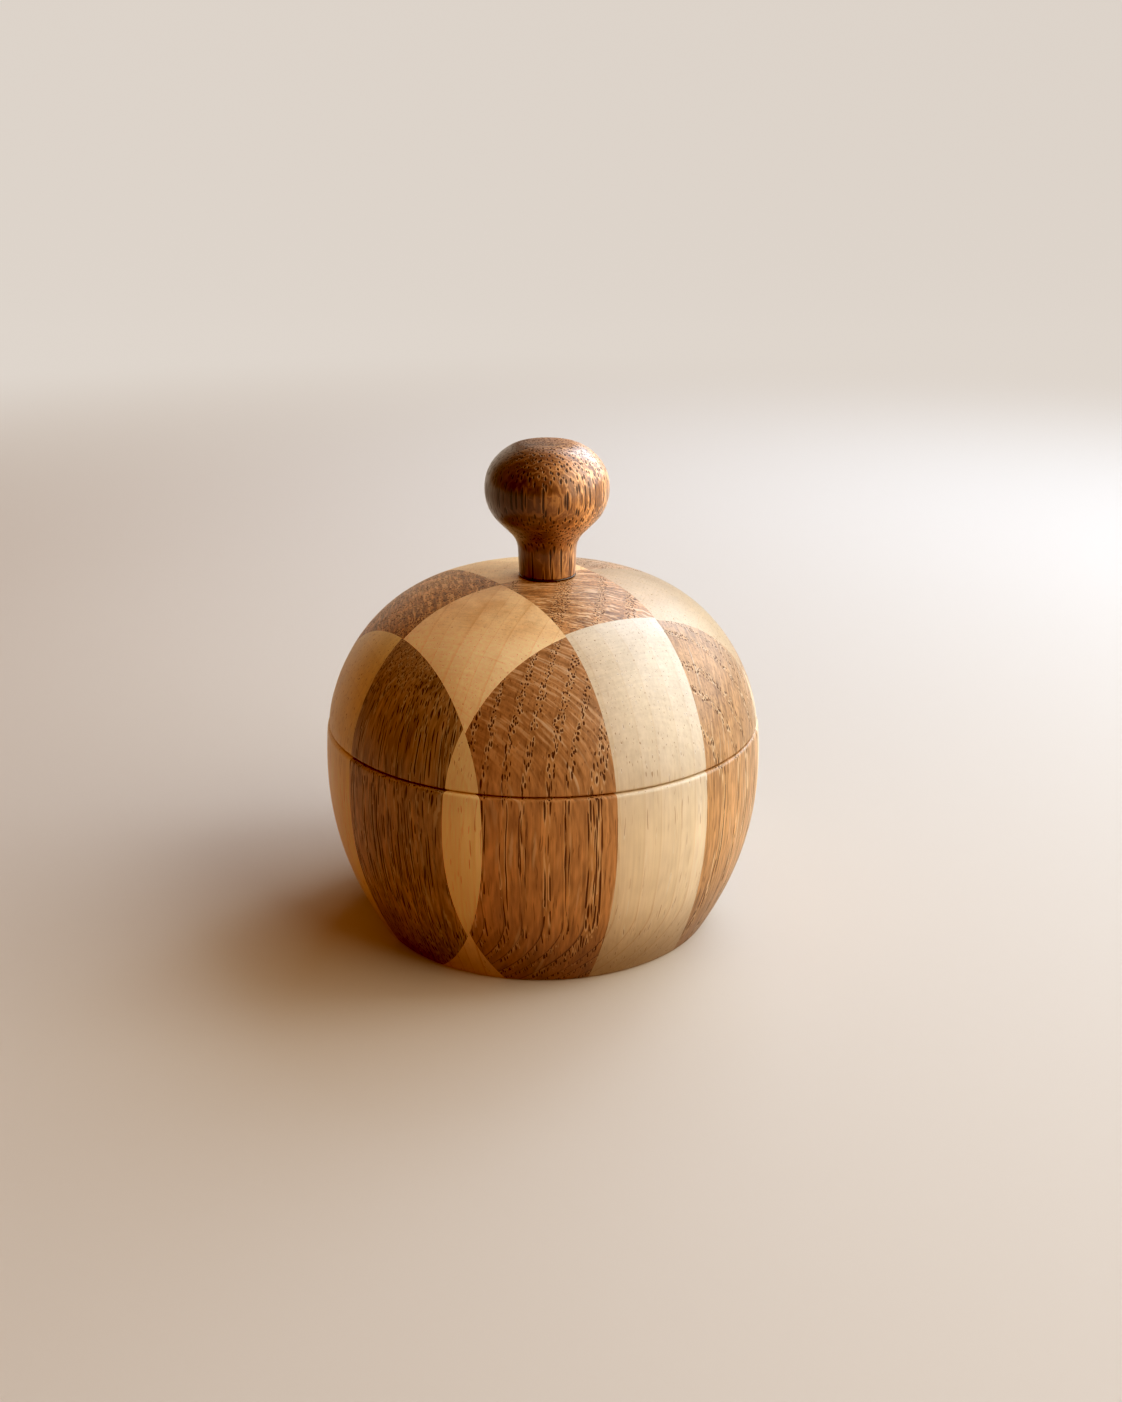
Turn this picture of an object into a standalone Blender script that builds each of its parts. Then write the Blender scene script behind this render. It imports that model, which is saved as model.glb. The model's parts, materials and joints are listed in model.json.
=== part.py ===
"""A turned salt cellar: a jar, its lift-off lid and a knob.

The jar and the lid are turned from one block that is glued up from upright oak and maple
staves in a chequer, so each stave is an object of its own. Lengths are in metres and +Z is
up. The origin is on the table, on the jar's axis, and the glue joints lie along X and Y.
"""

import math

import bmesh
import bpy
from mathutils import Matrix

# Outside of the base: widest below the seam, drawn in a little at the rim and more at the foot
BODY_RADIUS = 0.0450
WIDEST_HEIGHT = 0.0345
RIM_DRAW_IN = 0.00045
RIM_POWER = 2.0
FOOT_DRAW_IN = 0.0097
FLANK_POWER = 2.13
SEAM_HEIGHT = 0.0431
RIM_ROUND = 0.0008
FOOT_ROUND = 0.0005

# Underside of the base: a flat ring that stands on the table, round a shallow hollow
FOOT_RING_WIDTH = 0.0060
UNDERSIDE_DEPTH = 0.0010
UNDERSIDE_SLOPE = 0.0015

# Inside of the base: the salt bowl, and the spigot that the lid drops over
FLOOR_THICKNESS = 0.0070
BOWL_POWER = 4.0
BOWL_CORNER_POWER = 2.2
SPIGOT_WALL = 0.0032
SPIGOT_HEIGHT = 0.0040
SPIGOT_CHAMFER = 0.0006

# Lid: outside, edge and hollow
LID_RISE = 0.0301
LID_SETBACK = 0.0003
LID_CROWN_POWER = 1.53
LID_SHOULDER_POWER = 3.2
LID_EDGE_ROUND = 0.0004
LID_LIP_WALL = 0.0037
LID_CROWN_THICKNESS = 0.0120
HOLLOW_WALL = 0.0070

# Knob: a flattened bulb on a waisted neck. Its tenon is glued into a hole a little off the lid's axis
KNOB_OFFSET_X = 0.0008
KNOB_OFFSET_Y = -0.0005
BULB_RADIUS = 0.01245
BULB_HEIGHT = 0.0178
CAP_RISE = 0.0102
CAP_FLAT_HEIGHT = 0.0091
CAP_EDGE_ROUND = 0.0007
CAP_POWER = 2.2
CAP_SHOULDER_POWER = 2.0
NECK_RADIUS = 0.0059
NECK_FOOT_RADIUS = 0.0057
NECK_FOOT_ROUND = 0.0005
UNDER_BULB_ANGLE = math.radians(45)
UNDER_BULB_SHARE = 0.406
NECK_FILLET_SHARE = 0.236
TENON_RADIUS = 0.0040
TENON_LENGTH = 0.0085
TENON_CHAMFER = 0.0006

# Clearances
SEAT_GAP = 0.0003
SPIGOT_CLEARANCE = 0.0003
SPIGOT_HEADROOM = 0.0005
GLUE_LINE = 0.0003

# Glued block: five strips side by side along X, each of four staves along Y.
# Its joints lie at these shares of the body's radius, and each strip slipped along Y as it was glued
STRIP_JOINT_SHARES = (-0.720, -0.231, 0.227, 0.720)
ROW_JOINT_SHARES = (-0.556, -0.018, 0.520)
STRIP_SLIPS = (0.0001, -0.0005, 0.0000, -0.0006, 0.0000)
THINNEST_STAVE = 0.0010
CUT_OVERRUN = 0.0040

# Timbers: colour and roughness when oiled
MAPLE_COLOUR = (0.72, 0.50, 0.26)
MAPLE_ROUGHNESS = 0.42
OAK_COLOUR = (0.33, 0.15, 0.05)
OAK_ROUGHNESS = 0.45
KNOB_COLOUR = (0.27, 0.11, 0.035)
KNOB_ROUGHNESS = 0.36

# Smoothness of the turned shapes
TURNING_STEPS = 48
KNOB_STEPS = 36
LONG_CURVE_POINTS = 10
HOLLOW_CURVE_POINTS = 7
CAP_POINTS = 6
ARC_POINTS = 4
EDGE_POINTS = 3
SHARP_ANGLE = math.radians(35)
MERGE_DISTANCE = 0.00001

# Sizes that follow from those above
FOOT_RADIUS = BODY_RADIUS - FOOT_DRAW_IN
SHOULDER_HEIGHT = SEAM_HEIGHT - SEAT_GAP / 2
LID_EDGE_HEIGHT = SEAM_HEIGHT + SEAT_GAP / 2
CROWN_HEIGHT = SEAM_HEIGHT + LID_RISE


def flank_radius(height):
    """Radius of the base's outside at a height above the table."""
    if height > WIDEST_HEIGHT:
        share = (height - WIDEST_HEIGHT) / (SEAM_HEIGHT - WIDEST_HEIGHT)
        return BODY_RADIUS - RIM_DRAW_IN * share**RIM_POWER
    share = (WIDEST_HEIGHT - height) / WIDEST_HEIGHT
    return BODY_RADIUS - FOOT_DRAW_IN * share**FLANK_POWER


LID_EDGE_RADIUS = flank_radius(SEAM_HEIGHT) - LID_SETBACK
RECESS_RADIUS = LID_EDGE_RADIUS - LID_LIP_WALL
SPIGOT_RADIUS = RECESS_RADIUS - SPIGOT_CLEARANCE
BOWL_RADIUS = SPIGOT_RADIUS - SPIGOT_WALL
SPIGOT_TOP = SHOULDER_HEIGHT + SPIGOT_HEIGHT
RECESS_TOP = SPIGOT_TOP + SPIGOT_HEADROOM


def shares(count):
    """Evenly spaced numbers from 0 to 1, both included."""
    return [i / (count - 1) for i in range(count)]


def eased_shares(count):
    """Numbers from 0 to 1 that close up towards 1, where a dome or a bowl turns level."""
    return [math.sin(s * math.pi / 2) for s in shares(count)]


def dome_radius(edge_radius, rise_share, crown_power, shoulder_power):
    """Radius of a dome at a share of its rise, by a superellipse."""
    return edge_radius * max(0.0, 1 - rise_share**crown_power) ** (1 / shoulder_power)


def rounded_corner(before, corner, after, count=EDGE_POINTS):
    """Points of a smooth bend from before to after, drawn towards the corner between them."""
    points = []
    for s in shares(count):
        a, b, c = (1 - s) ** 2, 2 * s * (1 - s), s**2
        points.append(tuple(a * p + b * q + c * r for p, q, r in zip(before, corner, after)))
    return points


def base_outline():
    """(radius, height) from the bowl's middle, up the inside and down the outside, to the underside."""
    depth = SHOULDER_HEIGHT - FLOOR_THICKNESS
    bowl = []
    for s in reversed(eased_shares(HOLLOW_CURVE_POINTS)):
        radius = dome_radius(BOWL_RADIUS, s, BOWL_POWER, BOWL_CORNER_POWER)
        bowl.append((radius, SHOULDER_HEIGHT - depth * s))
    spigot = [
        (BOWL_RADIUS, SPIGOT_TOP),
        (SPIGOT_RADIUS - SPIGOT_CHAMFER, SPIGOT_TOP),
        (SPIGOT_RADIUS, SPIGOT_TOP - SPIGOT_CHAMFER),
        (SPIGOT_RADIUS, SHOULDER_HEIGHT),
    ]
    rim_radius = flank_radius(SHOULDER_HEIGHT)
    rim = rounded_corner(
        (rim_radius - RIM_ROUND, SHOULDER_HEIGHT),
        (rim_radius, SHOULDER_HEIGHT),
        (flank_radius(SHOULDER_HEIGHT - RIM_ROUND), SHOULDER_HEIGHT - RIM_ROUND),
    )
    top, bottom = SHOULDER_HEIGHT - RIM_ROUND, FOOT_ROUND
    heights = [top + (bottom - top) * s for s in shares(LONG_CURVE_POINTS)]
    flank = [(flank_radius(height), height) for height in heights[1:-1]]
    foot = rounded_corner(
        (flank_radius(FOOT_ROUND), FOOT_ROUND), (FOOT_RADIUS, 0), (FOOT_RADIUS - FOOT_ROUND, 0)
    )
    ring_inside = FOOT_RADIUS - FOOT_ROUND - FOOT_RING_WIDTH
    underside = [
        (ring_inside, 0),
        (ring_inside - UNDERSIDE_SLOPE, UNDERSIDE_DEPTH),
        (0, UNDERSIDE_DEPTH),
    ]
    return bowl + spigot + rim + flank + foot + underside


def lid_outline():
    """(radius, height) from the crown's middle, down the outside, up the hollow to its middle."""
    rise = CROWN_HEIGHT - LID_EDGE_HEIGHT
    dome = []
    for s in reversed(eased_shares(LONG_CURVE_POINTS)[1:]):
        radius = dome_radius(LID_EDGE_RADIUS, s, LID_CROWN_POWER, LID_SHOULDER_POWER)
        dome.append((radius, LID_EDGE_HEIGHT + rise * s))
    edge_top = LID_EDGE_HEIGHT + LID_EDGE_ROUND
    edge_share = LID_EDGE_ROUND / rise
    edge_radius = dome_radius(LID_EDGE_RADIUS, edge_share, LID_CROWN_POWER, LID_SHOULDER_POWER)
    edge = rounded_corner(
        (edge_radius, edge_top),
        (LID_EDGE_RADIUS, LID_EDGE_HEIGHT),
        (LID_EDGE_RADIUS - LID_EDGE_ROUND, LID_EDGE_HEIGHT),
    )
    recess = [(RECESS_RADIUS, LID_EDGE_HEIGHT), (RECESS_RADIUS, RECESS_TOP)]
    hollow_radius = LID_EDGE_RADIUS - HOLLOW_WALL
    hollow_rise = CROWN_HEIGHT - LID_CROWN_THICKNESS - RECESS_TOP
    hollow = []
    for s in eased_shares(HOLLOW_CURVE_POINTS):
        radius = dome_radius(hollow_radius, s, LID_CROWN_POWER, LID_SHOULDER_POWER)
        hollow.append((radius, RECESS_TOP + hollow_rise * s))
    return dome + edge + recess + hollow


def cap_outline(bulb):
    """(radius, height) from the middle of the knob's flat top down to the bulb's widest line."""
    def cap_point(rise_share):
        radius = dome_radius(BULB_RADIUS, rise_share, CAP_POWER, CAP_SHOULDER_POWER)
        return (radius, bulb + CAP_RISE * rise_share)

    flat_radius, flat = cap_point(CAP_FLAT_HEIGHT / CAP_RISE)
    shoulder_share = (CAP_FLAT_HEIGHT - CAP_EDGE_ROUND) / CAP_RISE
    edge = rounded_corner(
        (flat_radius - CAP_EDGE_ROUND, flat), (flat_radius, flat), cap_point(shoulder_share)
    )
    side = [cap_point(s * shoulder_share) for s in reversed(shares(CAP_POINTS)[:-1])]
    return [(0, flat)] + edge + side


def waist_outline(bulb):
    """(radius, height) from below the bulb's widest line: an outward arc, a cone, an inward arc."""
    drawn_in = BULB_RADIUS - NECK_RADIUS
    versine = 1 - math.cos(UNDER_BULB_ANGLE)
    under_round = UNDER_BULB_SHARE * drawn_in / versine
    neck_round = NECK_FILLET_SHARE * drawn_in / versine
    cone_drop = drawn_in * (1 - UNDER_BULB_SHARE - NECK_FILLET_SHARE) / math.tan(UNDER_BULB_ANGLE)
    neck_top = bulb - (under_round + neck_round) * math.sin(UNDER_BULB_ANGLE) - cone_drop
    points = []
    for s in shares(ARC_POINTS)[1:]:
        angle = s * UNDER_BULB_ANGLE
        radius = BULB_RADIUS - under_round * (1 - math.cos(angle))
        points.append((radius, bulb - under_round * math.sin(angle)))
    for s in shares(ARC_POINTS):
        angle = (1 - s) * UNDER_BULB_ANGLE
        radius = NECK_RADIUS + neck_round * (1 - math.cos(angle))
        points.append((radius, neck_top + neck_round * math.sin(angle)))
    return points


def knob_outline():
    """(radius, height) from the middle of the knob's flat top, down the side, to the tenon's end."""
    bulb = CROWN_HEIGHT + BULB_HEIGHT
    foot = CROWN_HEIGHT + SEAT_GAP
    neck_foot = rounded_corner(
        (NECK_FOOT_RADIUS, foot + NECK_FOOT_ROUND),
        (NECK_FOOT_RADIUS, foot),
        (NECK_FOOT_RADIUS - NECK_FOOT_ROUND, foot),
    )
    tenon_end = CROWN_HEIGHT - TENON_LENGTH
    tenon = [
        (TENON_RADIUS, foot),
        (TENON_RADIUS, tenon_end + TENON_CHAMFER),
        (TENON_RADIUS - TENON_CHAMFER, tenon_end),
        (0, tenon_end),
    ]
    return cap_outline(bulb) + waist_outline(bulb) + neck_foot + tenon


def clear_scene():
    """Removes the objects that the file opened with."""
    for obj in list(bpy.data.objects):
        bpy.data.objects.remove(obj)


def new_collection(name):
    """A collection in the scene."""
    collection = bpy.data.collections.new(name)
    bpy.context.scene.collection.children.link(collection)
    return collection


def wood(name, colour, roughness):
    """An oiled timber's material."""
    material = bpy.data.materials.new(name)
    material.use_nodes = True
    shader = material.node_tree.nodes["Principled BSDF"]
    shader.inputs["Base Color"].default_value = (*colour, 1)
    shader.inputs["Roughness"].default_value = roughness
    shader.inputs["Metallic"].default_value = 0
    return material


def object_from(shape, name, collection):
    """An object made of a bmesh, which is freed."""
    mesh = bpy.data.meshes.new(name)
    shape.to_mesh(mesh)
    shape.free()
    obj = bpy.data.objects.new(name, mesh)
    collection.objects.link(obj)
    return obj


def turned_object(name, outline, steps, collection):
    """An object turned about Z: the outline as a wire, with a Screw modifier."""
    mesh = bpy.data.meshes.new(name)
    edges = [(i, i + 1) for i in range(len(outline) - 1)]
    mesh.from_pydata([(radius, 0, height) for radius, height in outline], edges, [])
    obj = bpy.data.objects.new(name, mesh)
    collection.objects.link(obj)
    screw = obj.modifiers.new("turning", "SCREW")
    screw.steps = steps
    screw.render_steps = steps
    screw.use_merge_vertices = True
    screw.merge_threshold = MERGE_DISTANCE
    return obj


def settle(obj):
    """Turns an object's modifiers into its mesh, and shades it smooth between its sharp edges."""
    bpy.context.view_layer.update()
    graph = bpy.context.evaluated_depsgraph_get()
    mesh = bpy.data.meshes.new_from_object(obj.evaluated_get(graph))
    mesh.name = obj.name
    obj.modifiers.clear()
    obj.data = mesh
    mesh.shade_smooth()
    mesh.set_sharp_from_angle(angle=SHARP_ANGLE)


def as_helper(obj):
    """Keeps an object out of the picture: it only shapes others."""
    obj.hide_render = True
    obj.display_type = "WIRE"
    return obj


def hidden_turning(name, outline, collection):
    """The whole turned shape that the staves are cut to."""
    obj = turned_object(name, outline, TURNING_STEPS, collection)
    settle(obj)
    return as_helper(obj)


def drill_for_tenon(lid_turning, collection):
    """Drills the blind hole for the knob's tenon, deep enough to leave a glue line under it."""
    bottom = CROWN_HEIGHT - TENON_LENGTH - GLUE_LINE
    top = CROWN_HEIGHT + CUT_OVERRUN
    radius = TENON_RADIUS + GLUE_LINE
    shape = bmesh.new()
    bmesh.ops.create_cone(
        shape, cap_ends=True, segments=KNOB_STEPS, radius1=radius, radius2=radius, depth=top - bottom
    )
    drill = object_from(shape, "tenon_drill", collection)
    drill.location = (KNOB_OFFSET_X, KNOB_OFFSET_Y, (bottom + top) / 2)
    as_helper(drill)
    hole = lid_turning.modifiers.new("tenon_hole", "BOOLEAN")
    hole.operation = "DIFFERENCE"
    hole.object = drill
    settle(lid_turning)


def spans_between(joint_shares, slip=0.0):
    """(low, high) of each stretch between joints. The outer stretches run past the turning."""
    outside = BODY_RADIUS + CUT_OVERRUN
    edges = [-outside] + [share * BODY_RADIUS + slip for share in joint_shares] + [outside]
    return list(zip(edges[:-1], edges[1:]))


def nearest_to_axis(span):
    """How near a span of X or Y comes to the axis, inside its glue lines."""
    low, high = span[0] + GLUE_LINE / 2, span[1] - GLUE_LINE / 2
    return 0.0 if low <= 0 <= high else min(abs(low), abs(high))


def stave(name, span_x, span_y, turning, material, collection):
    """One stave: its sawn blank, less half a glue line on each side, cut to the turned shape."""
    heights = [corner.co.z for corner in turning.data.vertices]
    low, high = min(heights) - CUT_OVERRUN, max(heights) + CUT_OVERRUN
    size = (span_x[1] - span_x[0] - GLUE_LINE, span_y[1] - span_y[0] - GLUE_LINE, high - low)
    shape = bmesh.new()
    bmesh.ops.create_cube(shape, size=1, matrix=Matrix.Diagonal((*size, 1)))
    obj = object_from(shape, name, collection)
    obj.location = (sum(span_x) / 2, sum(span_y) / 2, (low + high) / 2)
    cut = obj.modifiers.new("turned", "BOOLEAN")
    cut.operation = "INTERSECT"
    cut.object = turning
    settle(obj)
    obj.data.materials.clear()
    obj.data.materials.append(material)
    return obj


def glued_staves(prefix, turning, edge_radius, timbers, collection):
    """The chequer of staves that makes up one turned shape. Strips are a to e, and rows 1 to 4."""
    staves = []
    for column, span_x in enumerate(spans_between(STRIP_JOINT_SHARES)):
        for row, span_y in enumerate(spans_between(ROW_JOINT_SHARES, STRIP_SLIPS[column])):
            nearest = math.hypot(nearest_to_axis(span_x), nearest_to_axis(span_y))
            if nearest > edge_radius - THINNEST_STAVE:
                continue
            timber, material = timbers[(column + row) % 2]
            name = f"{prefix}_{timber}_stave_{'abcde'[column]}{row + 1}"
            staves.append(stave(name, span_x, span_y, turning, material, collection))
    return staves


def parent_in_place(children, empty):
    """Hangs objects on an empty without moving them."""
    bpy.context.view_layer.update()
    for child in children:
        child.parent = empty
        child.matrix_parent_inverse = empty.matrix_world.inverted()


def lift_axis(collection):
    """The empty on the lid's lifting axis, at the seam."""
    empty = bpy.data.objects.new("lid_lift_axis", None)
    empty.location = (0, 0, SEAM_HEIGHT)
    empty.empty_display_size = BODY_RADIUS
    collection.objects.link(empty)
    return empty


def knob(material, collection):
    """The turned knob with its tenon."""
    obj = turned_object("knob", knob_outline(), KNOB_STEPS, collection)
    settle(obj)
    obj.location = (KNOB_OFFSET_X, KNOB_OFFSET_Y, 0)
    obj.data.materials.append(material)
    return obj


def main():
    """Builds the salt cellar with its lid closed."""
    clear_scene()
    parts = new_collection("salt_cellar")
    helpers = new_collection("turning_helpers")
    maple = wood("oiled_maple", MAPLE_COLOUR, MAPLE_ROUGHNESS)
    oak = wood("oiled_oak", OAK_COLOUR, OAK_ROUGHNESS)
    dark_oak = wood("oiled_dark_oak", KNOB_COLOUR, KNOB_ROUGHNESS)
    timbers = (("maple", maple), ("oak", oak))
    base_turning = hidden_turning("base_turning", base_outline(), helpers)
    lid_turning = hidden_turning("lid_turning", lid_outline(), helpers)
    drill_for_tenon(lid_turning, helpers)
    glued_staves("base", base_turning, BODY_RADIUS, timbers, parts)
    lid = glued_staves("lid", lid_turning, LID_EDGE_RADIUS, timbers, parts)
    lid.append(knob(dark_oak, parts))
    parent_in_place(lid, lift_axis(parts))


main()
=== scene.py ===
"""Turned wooden salt cellar: the looks of its glued staves, its lift-off lid and its knob.

Everything is in metres in the CAD's own frame. Grain, pores and other patterns are worked out in
millimetres.
"""

from __future__ import annotations

import json
import logging
import math
import random
from collections.abc import Iterable, Sequence
from dataclasses import dataclass, field, replace
from enum import Enum
from typing import ClassVar

import bmesh
import bpy
from mathutils import Matrix, Vector

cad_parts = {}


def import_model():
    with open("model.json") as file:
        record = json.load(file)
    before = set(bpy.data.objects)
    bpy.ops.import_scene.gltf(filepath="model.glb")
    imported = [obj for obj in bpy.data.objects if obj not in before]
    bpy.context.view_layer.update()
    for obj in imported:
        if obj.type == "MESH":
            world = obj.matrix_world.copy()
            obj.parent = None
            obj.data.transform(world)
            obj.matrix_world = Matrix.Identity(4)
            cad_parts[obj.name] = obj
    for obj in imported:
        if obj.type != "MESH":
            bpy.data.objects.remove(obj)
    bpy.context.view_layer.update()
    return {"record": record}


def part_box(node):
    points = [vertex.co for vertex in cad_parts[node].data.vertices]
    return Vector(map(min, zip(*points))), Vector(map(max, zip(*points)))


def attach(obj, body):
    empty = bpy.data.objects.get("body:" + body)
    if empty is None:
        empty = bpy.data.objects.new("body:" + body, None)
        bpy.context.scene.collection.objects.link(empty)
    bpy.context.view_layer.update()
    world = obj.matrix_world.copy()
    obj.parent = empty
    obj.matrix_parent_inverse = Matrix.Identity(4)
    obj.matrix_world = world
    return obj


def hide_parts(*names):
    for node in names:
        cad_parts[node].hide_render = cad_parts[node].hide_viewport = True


LOG = logging.getLogger("salt_cellar")

Point = tuple[float, float]
Triple = tuple[float, float, float]
Tree = bpy.types.NodeTree
# What a node's input can be linked to: a socket, or a node, of which the first output in use is then
# meant.
Link = bpy.types.Node | bpy.types.NodeSocket
Links = dict[str, Link]
Boxes = dict[str, tuple[Vector, Vector]]

MM = 0.001
FULL_TURN = 2 * math.pi
MERGE_DISTANCE = 1e-6
SLIVER = 1e-7
CUT_DISTANCE = 1e-8
SHARP_ANGLE = math.radians(32)

# Sizes that more than one piece takes up, in metres.
WIDEST_LINE = 0.0345
SEAM = 0.0431
CROWN = 0.0732
SEAT_GAP = 0.0003
LIP_WALL = 0.0037
TENON_RADIUS = 0.0040
TENON_LENGTH = 0.0085
# How late the flank draws in towards the foot, and the dome towards the crown.
FLANK_POWER = 2.13
CROWN_POWER = 1.53


class Body(Enum):
    """The two bodies that part from each other when the cellar is opened."""

    BASE = "base"
    LID = "lid"


class Slot(Enum):
    """The record's material slots."""

    MAPLE = "maple"
    OAK = "oak"
    KNOB_OAK = "knob_oak"


def linear(colour: str) -> tuple[float, float, float, float]:
    """Turn an sRGB hex colour into the linear colour that a shader takes.

    Args:
        colour: six hex digits.

    Returns:
        Red, green, blue and an alpha of one.
    """
    shares = [int(colour[i : i + 2], 16) / 255 for i in (0, 2, 4)]
    red, green, blue = (s / 12.92 if s <= 0.04045 else ((s + 0.055) / 1.055) ** 2.4 for s in shares)
    return (red, green, blue, 1.0)


def add(
    tree: Tree, kind: str, inputs: Sequence[object] | dict[str, object] = (), **settings: object
) -> bpy.types.Node:
    """Add a node to a tree, with its settings, and with its inputs set or linked.

    Args:
        tree: the material's or the world's node tree.
        kind: the type's name without its ShaderNode, and after a full stop a math node's operation.
        inputs: plain values, sockets or nodes for the inputs in use, in their order or by their names.
        settings: properties of the node itself.

    Returns:
        The new node.
    """
    kind, _, operation = kind.partition(".")
    node = tree.nodes.new(f"ShaderNode{kind}")
    if operation:
        node.operation = operation
    for name, value in settings.items():
        setattr(node, name, value)
    if isinstance(inputs, dict):
        pairs = [(node.inputs[name], value) for name, value in inputs.items()]
    else:
        pairs = zip((socket for socket in node.inputs if socket.enabled), inputs)
    for socket, value in pairs:
        if isinstance(value, bpy.types.Node):
            value = next(output for output in value.outputs if output.enabled)
        if isinstance(value, bpy.types.NodeSocket):
            tree.links.new(value, socket)
        else:
            socket.default_value = value
    return node


# The setting of a Map Range node that eases both of its ends.
EASED = {"interpolation_type": "SMOOTHSTEP"}


def bare_material(name: str) -> bpy.types.Material:
    """Make a material with an empty node tree.

    Args:
        name: the material's name.

    Returns:
        The new material.
    """
    material = bpy.data.materials.new(name)
    material.use_nodes = True
    material.node_tree.nodes.clear()
    return material


def spread(count: int, eased: bool = False) -> list[float]:
    """Give numbers from 0 to 1.

    Args:
        count: how many, both ends included.
        eased: whether they close up towards 1, where a dome or a bowl turns level.

    Returns:
        The numbers, rising.
    """
    shares = [i / (count - 1) for i in range(count)]
    return [math.sin(s * math.pi / 2) for s in shares] if eased else shares


def dome(edge: float, share: float, crown_power: float, shoulder_power: float) -> float:
    """Give a dome's radius at a share of its rise, by a superellipse.

    Args:
        edge: radius at the dome's edge.
        share: share of the rise, from 0 at the edge to 1 at the crown.
        crown_power: how late the crown turns level.
        shoulder_power: how full the shoulder is.

    Returns:
        The radius.
    """
    return edge * max(0.0, 1 - share**crown_power) ** (1 / shoulder_power)


def corner(before: Point, tip: Point, after: Point, count: int) -> list[Point]:
    """Round a corner of an outline.

    Args:
        before: where the bend starts.
        tip: the sharp corner that it is drawn towards.
        after: where the bend ends.
        count: number of points.

    Returns:
        Points of the bend as (radius, height).
    """
    bend = []
    for s in spread(count):
        weights = ((1 - s) ** 2, 2 * s * (1 - s), s * s)
        bend.append(tuple(sum(w * p[i] for w, p in zip(weights, (before, tip, after))) for i in (0, 1)))
    return bend


def spin_round(shape: bmesh.types.BMesh, steps: int, middle: Point) -> None:
    """Spin a section about an upright axis into a closed, smooth mesh whose faces point outwards.

    Args:
        shape: the mesh that holds the section, changed in place.
        steps: number of steps round the axis.
        middle: x and y of the axis.
    """
    bmesh.ops.spin(
        shape,
        geom=shape.verts[:] + shape.edges[:],
        cent=(*middle, 0),
        axis=(0, 0, 1),
        angle=FULL_TURN,
        steps=steps,
        use_merge=True,
    )
    bmesh.ops.remove_doubles(shape, verts=shape.verts[:], dist=MERGE_DISTANCE)
    bmesh.ops.dissolve_degenerate(shape, edges=shape.edges[:], dist=SLIVER)
    bmesh.ops.recalc_face_normals(shape, faces=shape.faces[:])
    for face in shape.faces:
        face.smooth = True


def turn(outline: list[Point], steps: int, middle: Point = (0.0, 0.0)) -> bmesh.types.BMesh:
    """Turn an outline about an upright axis, as a lathe does.

    Args:
        outline: (radius, height) points, whose first and last lie on the axis.
        steps: number of steps round the axis.
        middle: x and y of the axis.

    Returns:
        A closed mesh whose faces point outwards, with its sharp edges marked.
    """
    turned = bmesh.new()
    points = [turned.verts.new((middle[0] + radius, middle[1], height)) for radius, height in outline]
    for pair in zip(points, points[1:]):
        turned.edges.new(pair)
    spin_round(turned, steps, middle)
    for edge in turned.edges:
        edge.smooth = edge.calc_face_angle(0.0) < SHARP_ANGLE
    return turned


def saw(block: bmesh.types.BMesh, axis: int, place: float, keep_high: bool) -> None:
    """Saw a block along an upright plane and close the cut.

    Args:
        block: the mesh, changed in place.
        axis: 0 for a plane of constant x, 1 for one of constant y.
        place: where the plane stands.
        keep_high: whether the part beyond the plane stays, or the part before it.
    """
    normal = Vector((0.0, 0.0, 0.0))
    normal[axis] = -1.0 if keep_high else 1.0
    point = Vector((0.0, 0.0, 0.0))
    point[axis] = place
    cut = bmesh.ops.bisect_plane(
        block,
        geom=block.verts[:] + block.edges[:] + block.faces[:],
        dist=CUT_DISTANCE,
        plane_co=point,
        plane_no=normal,
        clear_outer=True,
    )
    edges = [part for part in cut["geom_cut"] if isinstance(part, bmesh.types.BMEdge)]
    filled = bmesh.ops.triangle_fill(block, edges=edges, use_beauty=True, normal=normal)
    for part in filled["geom"]:
        if isinstance(part, bmesh.types.BMFace):
            part.smooth = False
            if part.normal.dot(normal) < 0:
                part.normal_flip()
    for edge in edges:
        edge.smooth = False


def saw_between(block: bmesh.types.BMesh, axis: int, low: float | None, high: float | None) -> None:
    """Keep the part of a block between two planes.

    Args:
        block: the mesh, changed in place.
        axis: 0 for planes of constant x, 1 for planes of constant y.
        low: where the first plane stands, or None for no cut there.
        high: where the second plane stands, or None for no cut there.
    """
    if low is not None:
        saw(block, axis, low, keep_high=True)
    if high is not None:
        saw(block, axis, high, keep_high=False)


def as_object(shape: bmesh.types.BMesh, name: str) -> bpy.types.Object:
    """Put a mesh into the scene as an object at the origin, and free the mesh.

    Args:
        shape: the mesh, which is freed.
        name: the object's name.

    Returns:
        The new object.
    """
    mesh = bpy.data.meshes.new(name)
    shape.to_mesh(mesh)
    shape.free()
    piece = bpy.data.objects.new(name, mesh)
    bpy.context.scene.collection.objects.link(piece)
    return piece


def report(piece: bpy.types.Object) -> None:
    """Log a piece with its number of triangles."""
    triangles = sum(len(face.vertices) - 2 for face in piece.data.polygons)
    LOG.info("%s: %d triangles", piece.name, triangles)


# The grain's values as a piece's mesh carries them, three to an attribute.
GRAIN_LAYERS = {
    "pith": ("pith_x", "pith_y", "ring"),
    "grain": ("seed", "follow", "lean"),
    "tint": ("red", "green", "blue"),
    "sap": ("painted_light_slope", "knob_band", "streak"),
    "habit": ("band", "rays", "line"),
    "reach": ("reach", "bow", "wave"),
    "vessel": ("vessel", "closed", "figure"),
    "dome": ("arch", "spare", "spare"),
}


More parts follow.
